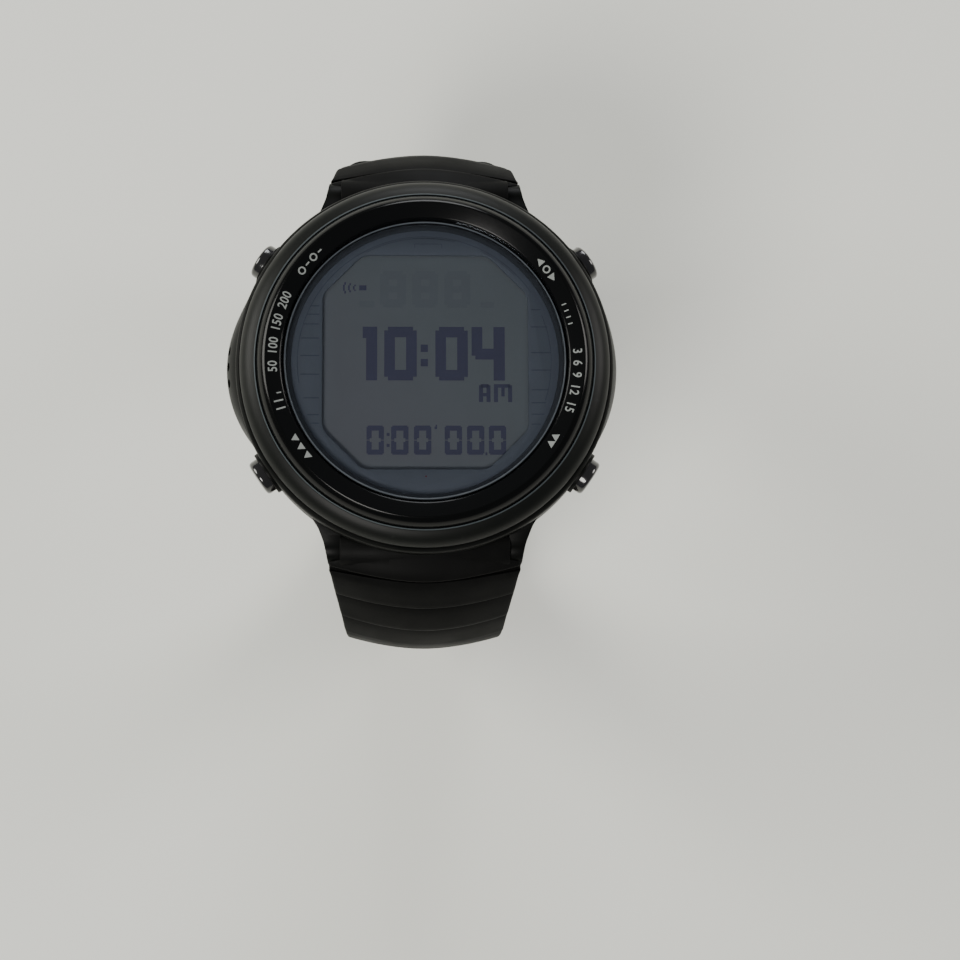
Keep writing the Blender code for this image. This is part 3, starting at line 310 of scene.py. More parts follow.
def radial(angle, height):
    """Carries +Z to the outward direction at an angle, at a height."""
    turn = Matrix.Rotation(math.radians(angle), 4, "Z")
    return Matrix.Translation((0, 0, height)) @ turn @ Matrix.Rotation(math.radians(90), 4, "Y")


# ---------------------------------------------------------------- materials

class Signal:
    """A shader socket that can be added, multiplied and compared like a number."""

    def __init__(self, finish, socket):
        self.finish = finish
        self.socket = socket

    def maths(self, operation, first, second):
        return self.finish.node("ShaderNodeMath", {"operation": operation}, {0: first, 1: second})

    def __add__(self, other):
        return self.maths("ADD", self, other)

    def __sub__(self, other):
        return self.maths("SUBTRACT", self, other)

    def __rsub__(self, other):
        return self.maths("SUBTRACT", other, self)

    def __mul__(self, other):
        return self.maths("MULTIPLY", self, other)

    def __pow__(self, other):
        return self.maths("POWER", self, other)

    __radd__ = __add__
    __rmul__ = __mul__


class Finish:
    """A material made of nodes around one Principled shader."""

    def __init__(self, name, **values):
        self.material = bpy.data.materials.new(name)
        self.material.use_nodes = True
        self.tree = self.material.node_tree
        self.shader = self.tree.nodes["Principled BSDF"]
        self.set(**values)
        self.spot = self.node("ShaderNodeTexCoord", {}, {}, "Object")

    def node(self, kind, settings, inputs, out=0):
        """Add a node: its settings first, then the values or links of its sockets."""
        made = self.tree.nodes.new(kind)
        for name, value in settings.items():
            setattr(made, name, value)
        for name, value in inputs.items():
            self.feed(made.inputs[name], value)
        return Signal(self, made.outputs[out])

    def feed(self, socket, value):
        if isinstance(value, Signal):
            self.tree.links.new(value.socket, socket)
        else:
            socket.default_value = value

    def set(self, **values):
        """Feed the shader: base_color=... goes to Base Color, and so on."""
        for name, value in values.items():
            self.feed(self.shader.inputs[name.replace("_", " ").title().replace("Ior", "IOR")], value)

    def noise(self, size, detail=3.0, stretch=(1, 1, 1)):
        """Noise with features about size millimetres across, stretched along an axis."""
        where = self.node("ShaderNodeMapping", {}, {"Vector": self.spot, "Scale": stretch})
        return self.node("ShaderNodeTexNoise", {}, {"Vector": where, "Scale": 1 / (size * MM),
                                                    "Detail": detail})

    def span(self, value, low, high, to_low=0.0, to_high=1.0):
        """Read a value between low and high as one between to_low and to_high."""
        return self.node("ShaderNodeMapRange", {"interpolation_type": "SMOOTHSTEP"}, {
            "Value": value, "From Min": low, "From Max": high, "To Min": to_low, "To Max": to_high})

    def blend(self, share, first, second):
        """A colour between two."""
        return self.node("ShaderNodeMix", {"data_type": "RGBA"}, {0: share, 6: first, 7: second}, 2)

    def axes(self):
        """X, Y and Z in metres."""
        split = self.tree.nodes.new("ShaderNodeSeparateXYZ")
        self.feed(split.inputs[0], self.spot)
        return [Signal(self, socket) for socket in split.outputs]

    def bump(self, height, depth):
        """Raise the surface by depth millimetres where height is 1."""
        normal = self.node("ShaderNodeBump", {}, {"Strength": 1.0, "Distance": depth * MM,
                                                  "Height": height})
        self.set(normal=normal)


def colour(*rgb):
    return (*rgb, 1.0)


def worn(name, base, wear, rough, grain, depth, metallic=0.0, stretch=(1, 1, 1), **values):
    """A finish with fine grain, slow changes of colour and gloss, and small rubbed spots."""
    look = Finish(name, metallic=metallic, **values)
    cloud = look.noise(9.0, 4.0)
    fine = look.noise(grain, 2.0, stretch)
    rubbed = look.span(look.noise(2.4, 6.0), 0.66, 0.80, 0.0, 0.35)
    drift = look.span(cloud, 0.3, 0.7, 0.0, 0.30)
    share = drift * (1 - rubbed) + rubbed
    look.set(base_color=look.blend(share, colour(*base), colour(*wear)),
             roughness=look.span(cloud, 0.3, 0.7, rough - 0.05, rough + 0.05) + rubbed * 0.1
             + fine * 0.06)
    look.bump(fine, depth)
    return look.material


def bezel_finish():
    """Satin shoulder, a crest line painted bright as a painted highlight, polished slope and a gloss
    black legend ring.
    """
    look = Finish("bezel_satin_and_polish", specular_ior_level=0.17)
    x, y, _ = look.axes()
    radius = (x * x + y * y) ** 0.5
    shoulder = look.span(radius, 21.98 * MM, 22.06 * MM)
    slope = look.span(radius, 20.44 * MM, 20.52 * MM)
    # The crest mask marks the thin band that is painted bright: a painted highlight standing in for the
    # light the crest line catches.
    crest = look.span(radius, 21.88 * MM, 21.95 * MM) * look.span(radius, 22.05 * MM, 22.12 * MM, 1, 0)
    cloud = look.noise(7.0, 4.0)
    scuffs = look.span(look.noise(1.6, 6.0, (1, 1, 0.3)), 0.68, 0.82, 0.0, 0.4)
    satin = look.blend(cloud, colour(0.0024, 0.0030, 0.0023), colour(0.0052, 0.0060, 0.0048))
    polished = look.blend(slope, colour(0.0024, 0.0026, 0.0026), colour(0.0016, 0.0018, 0.0016))
    body = look.blend(shoulder, polished, satin)
    body = look.blend(scuffs * shoulder * 0.5, body, colour(0.05, 0.052, 0.05))
    # Painted highlight: the crest band is coloured pale blue grey in place of the light it catches.
    look.set(base_color=look.blend(crest, body, colour(0.062, 0.075, 0.080)),
             roughness=look.span(shoulder + crest, 0, 1, 0.13, 0.40) + cloud * 0.05 + scuffs * 0.08)
    look.bump(look.noise(0.12, 2.0) * shoulder, 0.004)
    return look.material


def elastomer_finish(name="strap_elastomer"):
    """Matte black rubber with pale rubbed patches, dust and fine grain."""
    look = Finish(name, specular_ior_level=0.07)
    cloud = look.noise(11.0, 5.0)
    dust = look.span(look.noise(0.5, 3.0), 0.70, 0.86, 0.0, 0.5)
    handled = look.span(look.noise(5.0, 5.0), 0.45, 0.75, 0.0, 0.5)
    base = look.blend(cloud, colour(0.0018, 0.0019, 0.0018), colour(0.0040, 0.0041, 0.0038))
    base = look.blend(handled, base, colour(0.0068, 0.0068, 0.0064))
    look.set(base_color=look.blend(dust * 0.2, base, colour(0.07, 0.07, 0.066)),
             roughness=look.span(cloud, 0.3, 0.7, 0.46, 0.60) + dust * 0.1)
    look.bump(look.noise(0.16, 3.0) + 0.4 * look.noise(0.05, 1.0), 0.008)
    return look.material


def gloss_finish():
    """Polished black button caps with a few hair marks."""
    look = Finish("button_gloss", specular_ior_level=0.55, coat_weight=0.5, coat_roughness=0.05)
    marks = look.span(look.noise(0.8, 8.0, (1, 1, 6)), 0.62, 0.8)
    cloud = look.noise(3.0)
    look.set(base_color=look.blend(cloud, colour(0.006, 0.006, 0.006), colour(0.013, 0.012, 0.011)),
             roughness=look.span(marks, 0, 1, 0.14, 0.30) + cloud * 0.05)
    look.bump(marks, 0.0012)
    return look.material


def brushed_steel(name, base, rough, stretch, depth=0.003):
    """Steel brushed along one way."""
    look = Finish(name, metallic=1.0)
    lines = look.noise(0.25, 4.0, stretch)
    cloud = look.noise(5.0, 3.0)
    dark = tuple(0.72 * c for c in base)
    look.set(base_color=look.blend(lines * 0.6 + cloud * 0.4, colour(*dark), colour(*base)),
             roughness=look.span(lines, 0.3, 0.7, rough - 0.07, rough + 0.1) + cloud * 0.06)
    look.bump(lines, depth)
    return look.material


def turned_steel():
    """The case back: rings left by the lathe, and finger marks."""
    look = Finish("case_back_steel", metallic=1.0)
    x, y, _ = look.axes()
    radius = (x * x + y * y) ** 0.5
    where = look.node("ShaderNodeCombineXYZ", {}, {0: radius})
    lines = look.node("ShaderNodeTexNoise", {}, {"Vector": where, "Scale": 7000.0, "Detail": 4.0})
    cloud = look.noise(8.0, 4.0)
    smear = look.span(cloud, 0.4, 0.7)
    look.set(base_color=look.blend(smear, colour(0.42, 0.42, 0.41), colour(0.56, 0.56, 0.55)),
             roughness=look.span(lines, 0.35, 0.65, 0.20, 0.34) + smear * 0.08)
    look.bump(lines, 0.004)
    return look.material


def glass_finish():
    """Clear lens: what isn't mirrored passes through with a faint blue grey."""
    look = Finish("lens_clear", metallic=1.0, base_color=colour(0.92, 0.96, 1.0))
    smear = look.span(look.noise(4.0, 5.0), 0.5, 0.75)
    look.set(roughness=look.span(smear, 0, 1, 0.02, 0.06))
    clear = look.tree.nodes.new("ShaderNodeBsdfTransparent")
    clear.inputs["Color"].default_value = colour(0.90, 0.93, 0.97)
    edge = look.node("ShaderNodeFresnel", {}, {"IOR": 1.5})
    mix = look.tree.nodes.new("ShaderNodeMixShader")
    look.feed(mix.inputs[0], edge)
    look.tree.links.new(clear.outputs[0], mix.inputs[1])
    look.tree.links.new(look.shader.outputs[0], mix.inputs[2])
    look.tree.links.new(mix.outputs[0], look.tree.nodes["Material Output"].inputs["Surface"])
    return look.material


def dial_finish():
    """The printed mask: slate blue with a very fine print dot, and painted shade that darkens it near
    the rim under the bezel.
    """
    look = Finish("dial_print_and_rim_shade", specular_ior_level=0.3)
    x, y, _ = look.axes()
    radius = (x * x + y * y) ** 0.5
    # Painted shade: the mask is darkened towards its rim, where the bezel wall and lens edge shade it.
    rim = look.span(radius, 15.8 * MM, 17.3 * MM, 0.0, 0.55)
    cloud = look.noise(6.0, 3.0)
    fine = look.noise(0.10, 2.0)
    slate = look.blend(cloud, colour(0.142, 0.147, 0.156), colour(0.164, 0.168, 0.176))
    look.set(base_color=look.blend(rim, slate, colour(0.112, 0.116, 0.130)),
             roughness=0.42 + cloud * 0.1)
    look.bump(fine, 0.002)
    return look.material


def panel_finish():
    """Liquid crystal: greenish grey, painted warmer and a little darker to the lower left as painted
    shading, paler by the window's edge.
    """
    look = Finish("panel_crystal", specular_ior_level=0.35)
    x, y, _ = look.axes()
    # Painted shading: the panel's colour is made warmer and a little darker towards the lower left, as
    # the light falls on it.
    warm = look.span(0 - x - y, -10 * MM, 16 * MM)
    across = look.span((x * x) ** 0.5, 11.2 * MM, 13.3 * MM)
    up = look.span((y * y) ** 0.5, 12.0 * MM, 14.0 * MM)
    cells = look.noise(0.22, 1.0)
    base = look.blend(warm, colour(0.226, 0.226, 0.204), colour(0.222, 0.206, 0.194))
    base = look.blend((across + up) * 0.30, base, colour(0.250, 0.255, 0.240))
    look.set(base_color=look.blend(cells * 0.12, base, colour(0.16, 0.165, 0.16)),
             roughness=0.30 + cells * 0.1)
    return look.material


def ink_finish(name, first, second, rough=0.45):
    """Thin printed or shown marks."""
    look = Finish(name, specular_ior_level=0.3)
    cells = look.noise(0.3, 2.0)
    look.set(base_color=look.blend(cells, colour(*first), colour(*second)),
             roughness=rough + cells * 0.08)
    look.bump(cells, 0.001)
    return look.material


LOOKS = {
    "composite_black": worn("case_composite", (0.0026, 0.0029, 0.0025), (0.0075, 0.0080, 0.0070),
                            0.38, 0.12, 0.005, specular_ior_level=0.09),
    "polished_black": gloss_finish(),
    "elastomer_black": elastomer_finish(),
    "rubber_seal": worn("seal_rubber", (0.016, 0.016, 0.016), (0.03, 0.03, 0.03), 0.62, 0.2, 0.006),
    "coated_steel": brushed_steel("buckle_coated_steel", (0.060, 0.060, 0.062), 0.30, (0.08, 1, 1)),
    "bright_steel": brushed_steel("bright_steel", (0.56, 0.56, 0.55), 0.28, (0.1, 1, 1)),
    "lens_glass": glass_finish(),
    "dial_slate": dial_finish(),
    "panel_grey": panel_finish(),
    "diffuser_white": worn("diffuser", (0.72, 0.73, 0.70), (0.62, 0.62, 0.58), 0.5, 0.3, 0.003),
    "board_green": worn("circuit_board", (0.016, 0.085, 0.036), (0.05, 0.12, 0.06), 0.40, 0.4, 0.01),
    "module_grey": worn("module_frame", (0.09, 0.09, 0.09), (0.15, 0.15, 0.15), 0.5, 0.2, 0.006),
    "brass_disc": brushed_steel("buzzer_brass", (0.58, 0.42, 0.16), 0.3, (1, 0.1, 1)),
    "copper_wire": brushed_steel("coil_copper", (0.60, 0.29, 0.15), 0.33, (1, 1, 8), 0.02),
}
slots = {row["node"]: row["material_slot"] for row in frame["record"]["subparts"]}
for node, obj in frame["nodes"].items():
    obj.data.materials.clear()
    obj.data.materials.append(LOOKS[slots[node]])


# ---------------------------------------------------------------- camera, floor and light

def stage():
    """A plain pale floor, two soft side lights and a high one."""
    floor_z = cad_box[0].z
    bpy.ops.mesh.primitive_plane_add(size=6, location=(0, 0, floor_z))
    floor = bpy.context.object
    floor.name = "floor"
    look = Finish("floor_pale", specular_ior_level=0.2)
    cloud = look.noise(60.0, 3.0)
    look.set(base_color=look.blend(cloud, colour(0.74, 0.75, 0.69), colour(0.78, 0.79, 0.73)),
             roughness=0.85 + cloud * 0.05)
    floor.data.materials.append(look.material)

    world = bpy.data.worlds.new("studio")
    bpy.context.scene.world = world
    world.use_nodes = True
    world.node_tree.nodes["Background"].inputs["Color"].default_value = colour(0.86, 0.90, 1.0)
    world.node_tree.nodes["Background"].inputs["Strength"].default_value = 0.20
    lamps = (("window_light", (-0.85, 0.25, 0.48), 0.60, 9.0, (1.0, 0.99, 0.93)),
             ("right_light", (0.85, 0.25, 0.48), 0.45, 5.0, (1.0, 0.96, 0.93)),
             ("back_light", (0.05, 0.95, 0.36), 0.50, 5.0, (0.97, 0.98, 1.0)),
             ("front_light", (-0.33, -0.54, 0.78), 0.40, 6.5, (1.0, 0.97, 0.93)))
    for name, spot, size, power, tint in lamps:
        data = bpy.data.lights.new(name, "AREA")
        data.shape = "DISK"
        data.size = size
        data.energy = power
        data.color = tint
        lamp = bpy.data.objects.new(name, data)
        bpy.context.collection.objects.link(lamp)
        lamp.location = spot
        lamp.rotation_euler = (-Vector(spot)).to_track_quat("-Z", "Y").to_euler()

    data = bpy.data.cameras.new("camera")
    data.sensor_width = 36.0
    data.lens = 71.25
    data.clip_start = 0.01
    data.clip_end = 10.0
    camera = bpy.data.objects.new("camera", data)
    bpy.context.collection.objects.link(camera)
    tilt = Matrix.Rotation(math.radians(2.17), 4, "Y") @ Matrix.Rotation(math.radians(-7.11), 4, "X")
    offset = Matrix.Translation((-0.00705, 0.01548, -0.2453))
    shoulder = Matrix.Translation((0, 0, -0.0143))
    camera.matrix_world = (offset @ tilt @ shoulder).inverted()
    bpy.context.scene.camera = camera


# ---------------------------------------------------------------- case

def ear():
    """One lug ear at +X, +Y: round about the pin, drawn in towards its tip."""
    piece = start(bpy.ops.mesh.primitive_cylinder_add, vertices=64, radius=2.1,
                  depth=EAR_PLAN[0][1] - EAR_INNER + 0.3, rotation=(0, math.radians(90), 0),
                  location=((EAR_PLAN[0][1] + EAR_INNER - 0.3) / 2, PIN_OUT, PIN_Z))
    pick("FACE", lambda middle, normal: normal.y < -0.05)
    pull(y=-4.2)
    scale(z=1.55, y=0.05, about=(0, PIN_OUT - 5.2, PIN_Z + 0.1))
    for out in (20.0, 20.7, 21.4, 22.1, 22.8):
        bpy.ops.mesh.select_all(action="SELECT")
        bpy.ops.mesh.bisect(plane_co=(0, out, 0), plane_no=(0, 1, 0))
    shape = bmesh.from_edit_mesh(piece.data)
    far = EAR_PLAN[0][1] - 0.01
    levels = sorted({round(v.co.y, 3) for v in shape.verts if v.co.x > far})
    for level in levels:
        pick("VERT", lambda co: co.x > far and abs(co.y - level) < 0.001)
        shift(x=read(EAR_PLAN, level) - EAR_PLAN[0][1])
    tidy()
    close()
    return round_edges(piece, 0.35, 3, 50)


def read(table, at):
    """The value at a place in a table of (place, value), by straight steps."""
    if at <= table[0][0]:
        return table[0][1]
    for (s0, w0), (s1, w1) in zip(table, table[1:]):
        if at <= s1:
            return w0 + (w1 - w0) * (at - s0) / (s1 - s0)
    return table[-1][1]


def build_case():
    """Housing with ears, strap pockets and button collars."""
    profile = [(21.8, 1.0), (22.1, 1.05), (24.2, 4.1), (24.62, 4.75), (24.75, 5.3), (24.75, 10.7),
               (24.70, 11.1), (24.55, 11.42), (24.3, 11.6), (22.4, 11.6), (22.4, 9.8),
               (19.6, 9.8), (19.6, 5.0), (17.2, 5.0), (17.2, 2.3), (19.9, 2.3), (19.9, 1.0)]
    shell = rings(profile, loop=True)
    carve(shell, [block((-EAR_INNER, end * 24.65 - 4.0, -2), (EAR_INNER, end * 24.65 + 4.0, 8.65))
                  for end in (1, -1)])
    lug = ear()
    lugs = [copy(lug, Matrix.Diagonal((side, end, 1, 1))) for side in (1, -1) for end in (1, -1)]
    bpy.data.objects.remove(lug)
    collar = rings([(COLLAR_RADIUS, 22.75), (COLLAR_RADIUS, COLLAR_FACE - 0.15),
                    (COLLAR_RADIUS - 0.04, COLLAR_FACE - 0.04), (COLLAR_RADIUS - 0.1, COLLAR_FACE)], 64)
    bore = rod(BUTTON_RADIUS + 0.25, 23.9, 27.0, 64)
    collars = [copy(collar, radial(angle, BUTTON_Z)) for angle in BUTTONS.values()]
    bores = [copy(bore, radial(angle, BUTTON_Z)) for angle in BUTTONS.values()]
    for pattern in (collar, bore):
        bpy.data.objects.remove(pattern)
    carve(shell, lugs + collars, "UNION")
    carve(shell, bores)
    finished(shell, "case_shell", LOOKS["composite_black"], nodes=["case_body"],
             smooth=30)


def build_bezel():
    """Bezel: shoulder, crest, slope, legend ring, lens seat and skirt."""
    profile = [(23.95, BEZEL_FOOT), (BEZEL_RIM, BEZEL_FOOT + 0.1), (BEZEL_RIM, BEZEL_FOOT + 0.25)]
    profile += curve((24.08, 12.45), (23.6, 13.75), (22.16, 14.22), 10)
    profile += [(22.08, 14.33), (22.0, 14.37), (21.92, 14.34), (21.88, 14.24)]
    profile += curve((21.86, 14.2), (21.45, 15.5), (20.66, 15.92), 10)
    profile += [(20.56, 15.965), (20.49, 15.97), (20.42, 15.94)]
    profile += [(18.72, 15.475), (18.63, 15.43), (18.56, 15.35), (18.5, 15.2), (18.5, 12.6),
                (17.4, 12.6), (17.4, 12.1), (20.9, 12.1), (20.9, 10.8), (22.1, 10.8), (22.1, 12.1)]
    finished(rings(profile, 256, loop=True), "bezel_turned", bezel_finish(), nodes=["bezel_ring"],
             smooth=28)


def build_lens():
    """Lens with its bevelled edge, and a ring on the bevel painted pale grey as a painted highlight for
    the bright line that the bevel makes.
    """
    lens = rings([(LENS_RADIUS - 0.2, LENS_FOOT), (LENS_RADIUS, LENS_FOOT + 0.2),
                  (LENS_RADIUS, LENS_TOP - 0.2), (LENS_RADIUS - 0.2, LENS_TOP)], 256)
    finished(lens, "lens_disc", LOOKS["lens_glass"], nodes=["lens"], smooth=20)
    bevel = rings([(LENS_RADIUS + 0.02, LENS_TOP - 0.16), (LENS_RADIUS + 0.02, LENS_TOP - 0.1),
                   (LENS_RADIUS - 0.06, LENS_TOP + 0.01), (LENS_RADIUS - 0.2, LENS_TOP + 0.02),
                   (LENS_RADIUS - 0.24, LENS_TOP - 0.04), (LENS_RADIUS - 0.2, LENS_TOP - 0.16)],
                  256, loop=True)
    # Painted highlight: the bevel ring is coloured pale grey to stand for the bright line the light
    # makes on it, mottled by noise; its gloss also reflects the lamps.
    look = Finish("lens_bevel_painted_highlight", specular_ior_level=0.8)
    bevel_highlight_mottle = look.noise(1.5, 4.0)
    look.set(base_color=look.blend(bevel_highlight_mottle, colour(0.045, 0.055, 0.065), colour(0.09, 0.10, 0.11)),
             roughness=0.16 + bevel_highlight_mottle * 0.12)
    finished(bevel, "lens_bevel", look.material, smooth=40)


def build_back():
    """Case back with a turned step, and its four screws."""
    plate = rings([(19.6, 2.0), (19.6, 0.4), (19.5, 0.18), (19.3, 0.04), (19.1, 0.0), (15.2, 0.0),
                   (15.05, 0.12), (14.6, 0.12), (14.45, 0.0)], 192)
    well = rod(1.5, -1.0, 1.2, 40)
    spots = [Matrix.Rotation(math.radians(45 + 90 * i), 4, "Z") @ Matrix.Translation((17.9, 0, 0))
             for i in range(4)]
    wells = [copy(well, spot) for spot in spots]
    bpy.data.objects.remove(well)
    carve(plate, wells)
    finished(plate, "case_back_plate", turned_steel(), nodes=["case_back"],
             smooth=25)
    screw = rings([(0.95, 0.2), (1.12, 0.24), (1.25, 0.38), (1.25, 0.9), (0.55, 0.9), (0.55, 3.9)], 40)
    carve(screw, [block((-2, -0.2, -1), (2, 0.2, 0.55))])
    for i, spot in enumerate(spots):
        turn = Matrix.Rotation(math.radians(37 * i), 4, "Z")
        finished(copy(screw, spot @ turn), f"back_screw_{i + 1}", LOOKS["bright_steel"],
                 nodes=[f"case_back_screw_{i + 1}"])
    bpy.data.objects.remove(screw)


def build_covers():
    """Left and right side covers: a swelling slice of a disc set into the case wall."""
    end_x = CASE_RADIUS * math.cos(math.radians(24.5))
    end_y = CASE_RADIUS * math.sin(math.radians(24.5))
    swell = ((0.0, 0.70), (0.08, 0.86), (0.2, 0.97), (0.32, 1.0), (0.45, 0.97), (0.56, 0.88),
             (0.66, 0.76), (0.76, 0.60), (0.85, 0.42), (0.93, 0.22), (1.0, 0.0))
    low, high = 4.5, 10.62
    for name, node, bulge, turn in (("cover_right", "side_cover", 0.78, 0),
                                    ("cover_left", "sensor_cover", 1.48, 180)):
        rise = CASE_RADIUS + bulge - end_x
        radius = (end_y ** 2 + rise ** 2) / (2 * rise)
        piece = start(bpy.ops.mesh.primitive_circle_add, vertices=320, radius=radius,
                      fill_type="NGON", location=(CASE_RADIUS + bulge - radius, 0, low))
        bpy.ops.mesh.bisect(plane_co=(end_x - 0.35, 0, 0), plane_no=(1, 0, 0), clear_inner=True)
        bpy.ops.mesh.select_all(action="SELECT")
        bpy.ops.mesh.edge_face_add()
        bpy.ops.mesh.select_all(action="SELECT")
        bpy.ops.mesh.select_mode(type="FACE")
        sizes = [((CASE_RADIUS + bulge * share - end_x) / rise, low + (high - low) * at)
                 for at, share in swell]
        scale(x=sizes[0][0], about=(end_x, 0, 0))
        for (size, z), (next_size, next_z) in zip(sizes, sizes[1:]):
            pull(z=next_z - z)
            scale(x=next_size / size, about=(end_x, 0, 0))
        tidy()
        close()
        if node == "sensor_cover":
            port = place(rod(0.58, -0.9, 2.5, 32), Matrix.Rotation(math.radians(65), 4, "Y"))
            ports = [copy(port, Matrix.Translation((CASE_RADIUS + 0.77 * bulge, spot, 8.5)))
                     for spot in (2.1, -0.1, -2.2)]
            bpy.data.objects.remove(port)
            carve(piece, ports)
        place(piece, Matrix.Rotation(math.radians(turn), 4, "Z"))
        finished(piece, name, LOOKS["composite_black"], nodes=[node],
                 smooth=40)


def build_buttons():
    """Four push buttons, each with a rounded gloss cap."""
    cap = rings([(0.8, 19.2), (0.8, 23.3), (2.3, 23.95), (2.36, 24.02), (BUTTON_RADIUS, 24.1),
                 (BUTTON_RADIUS, 25.92), (2.37, 26.08), (2.29, 26.22), (2.16, 26.33), (1.98, 26.39),
                 (1.7, 26.43), (1.2, 26.46), (0.6, 26.48), (0.2, 26.485)], 72)
    for name, angle in BUTTONS.items():
        body = "button_" + name
        finished(copy(cap, radial(angle, BUTTON_Z)), "cap_" + name, LOOKS["polished_black"], body,
                 [body])
    bpy.data.objects.remove(cap)


# ---------------------------------------------------------------- display

def build_mask():
    """The printed ring round the window, with a bevelled inner edge."""
    plate = rings([(MASK_RADIUS, MASK_FOOT), (MASK_RADIUS, MASK_TOP)], 192)
    carve(plate, [window_prism(0.0, MASK_FOOT - 1, MASK_TOP + 1)])
    round_edges(plate, 0.07, 2, 60)
    finished(plate, "dial_mask", LOOKS["dial_slate"], nodes=["display_mask"],
             smooth=25)


def window_prism(grow, low, high):
    """An upright eight-sided block with the window's outline and softened corners."""
    (x0, y0), (x1, y1) = WINDOW
    piece = block((-x0 - grow, -y1 - grow, low), (x0 + grow, y1 + grow, high))
    bpy.ops.object.mode_set(mode="EDIT")
    pick("EDGE", lambda a, b: abs(a.z - b.z) > 0.5)
    bpy.ops.mesh.bevel(offset=(x0 - x1 + y1 - y0) / 2, segments=1)
    pick("EDGE", lambda a, b: abs(a.z - b.z) > 0.5)
    bpy.ops.mesh.bevel(offset=0.9, segments=6)
    close()
    return piece


def build_panel():
    """The liquid crystal panel with a thin polariser step."""
    panel = window_prism(0.45, PANEL_FOOT, PANEL_TOP)
    bpy.ops.object.mode_set(mode="EDIT")
    pick("FACE", lambda middle, normal: normal.z > 0.9)
    bpy.ops.mesh.inset(thickness=0.25)
    shift(z=0.02)
    close()
    finished(panel, "crystal_panel", LOOKS["panel_grey"], nodes=["lcd_panel"],
             smooth=20)


def plates(boxes, low, high):
    """Thin plates over (x0, y0, x1, y1) rectangles in one mesh, with softened corners."""
    for i, (x0, y0, x1, y1) in enumerate(boxes):
        size = dict(size=1, location=((x0 + x1) / 2, (y0 + y1) / 2, (low + high) / 2),
                    scale=(x1 - x0, y1 - y0, high - low))
        if i == 0:
            piece = start(bpy.ops.mesh.primitive_cube_add, **size)
        else:
            bpy.ops.mesh.primitive_cube_add(**size)
    pick("EDGE", lambda a, b: abs(a.z - b.z) > (high - low) / 2)
    bpy.ops.mesh.bevel(offset=0.03, segments=2)
    close()
    return piece


def big_zero(x, low, wide, tall, stroke, step):
    """A bold nought with stepped corners."""
    high = low + tall
    right = x + wide
    bars = [(x, low + step, x + stroke, high - step), (right - stroke, low + step, right, high - step),
            (x + stroke, low, right - stroke, low + stroke),
            (x + stroke, high - stroke, right - stroke, high)]
    for a, b in ((x + step, x + stroke), (right - stroke, right - step)):
        bars += [(a, low, b, low + step), (a, high - step, b, high)]
    return bars


def small_zero(x, low, wide, tall, stroke):
    """A nought of six segments, split at mid height."""
    high = low + tall
    right = x + wide
    mid = (low + high) / 2
    cut = 0.10
    trim = 0.16
    bars = [(x + trim, low, right - trim, low + stroke), (x + trim, high - stroke, right - trim, high)]
    for a, b, edge in ((x, x + stroke, x + trim), (right - stroke, right, right - trim)):
        inner = (a, b)
        bars += [(inner[0], low + stroke, inner[1], mid - cut / 2 - 0.2),
                 (inner[0], mid + cut / 2 + 0.2, inner[1], high - stroke)]
        half = (a, a + stroke * 0.62) if a == x else (b - stroke * 0.62, b)
        bars += [(half[0], mid - cut / 2 - 0.2, half[1], mid - cut / 2),
                 (half[0], mid + cut / 2, half[1], mid + cut / 2 + 0.2)]
        side = (a, edge) if a == x else (edge, b)
        bars += [(side[0], low + trim, side[1], low + stroke), (side[0], high - stroke, side[1],
                                                               high - trim)]
    return bars


def build_segments():
    """Shown and hidden display segments."""
    low, high = -2.33, 4.75
    bold = 1.38
    step = 0.48
    shown = [(-7.68, low, -6.26, high), (-8.13, high - 1.5, -7.68, high)]
    shown += big_zero(-5.33, low, 4.22, high - low, bold, step)
    shown += big_zero(1.32, low, 4.22, high - low, bold, step)
    shown += [(-0.59, 1.42, 0.34, 2.40), (-0.59, -0.47, 0.34, 0.50)]
    shown += [(6.04, 0.95, 7.44, high), (7.44, 0.45, 8.9, 1.88), (6.52, 0.45, 7.44, 0.95),
              (8.9, low, 10.36, high)]
    shown += [(6.98, -5.16, 7.50, -2.95), (7.95, -5.16, 8.47, -2.95), (7.20, -3.28, 8.25, -2.81),
              (7.50, -4.42, 7.95, -3.98)]
    shown += [(8.92, -5.16, 9.44, -2.81), (10.76, -5.16, 11.28, -2.95), (9.44, -3.28, 11.05, -2.81),
              (9.88, -4.42, 10.32, -3.28)]
    for x in (-7.60, -4.42, -1.47, 2.51, 5.40, 8.23):
        shown += small_zero(x, -12.07, 2.24, 3.80, 0.66)
    shown += [(-5.00, -9.62, -4.62, -9.24), (-5.00, -11.06, -4.62, -10.68)]
    shown += [(1.20, -8.72, 1.52, -8.40), (1.34, -8.40, 1.52, -8.17), (7.78, -12.15, 8.02, -11.75)]
    shown += [(-8.60, 9.58, -7.67, 10.24)]
    for x, half in ((-9.42, 0.42), (-10.05, 0.60), (-10.70, 0.76)):
        shown += [(x, 9.91 - half * 0.55, x + 0.2, 9.91 + half * 0.55),
                  (x + 0.16, 9.91 + half * 0.55, x + 0.36, 9.91 + half),
                  (x + 0.16, 9.91 - half, x + 0.36, 9.91 - half * 0.55)]
    ink = ink_finish("segment_ink", (0.082, 0.072, 0.115), (0.096, 0.085, 0.130))
    finished(plates(shown, PANEL_TOP + 0.015, PANEL_TOP + 0.045), "segments_shown", ink)
    hidden = []
    for x in (-5.9, -1.7, 2.5):
        hidden += big_zero(x, 7.3, 3.4, 4.9, 1.15, 0.4) + [(x + 1.15, 9.3, x + 2.25, 10.2)]
    hidden += [(-8.6, 7.3, -6.6, 8.2), (7.2, 7.3, 9.0, 8.1)]
    ghost = ink_finish("segment_ghost", (0.200, 0.198, 0.184), (0.206, 0.202, 0.190), 0.35)
    finished(plates(hidden, PANEL_TOP + 0.012, PANEL_TOP + 0.026), "segments_hidden", ghost)


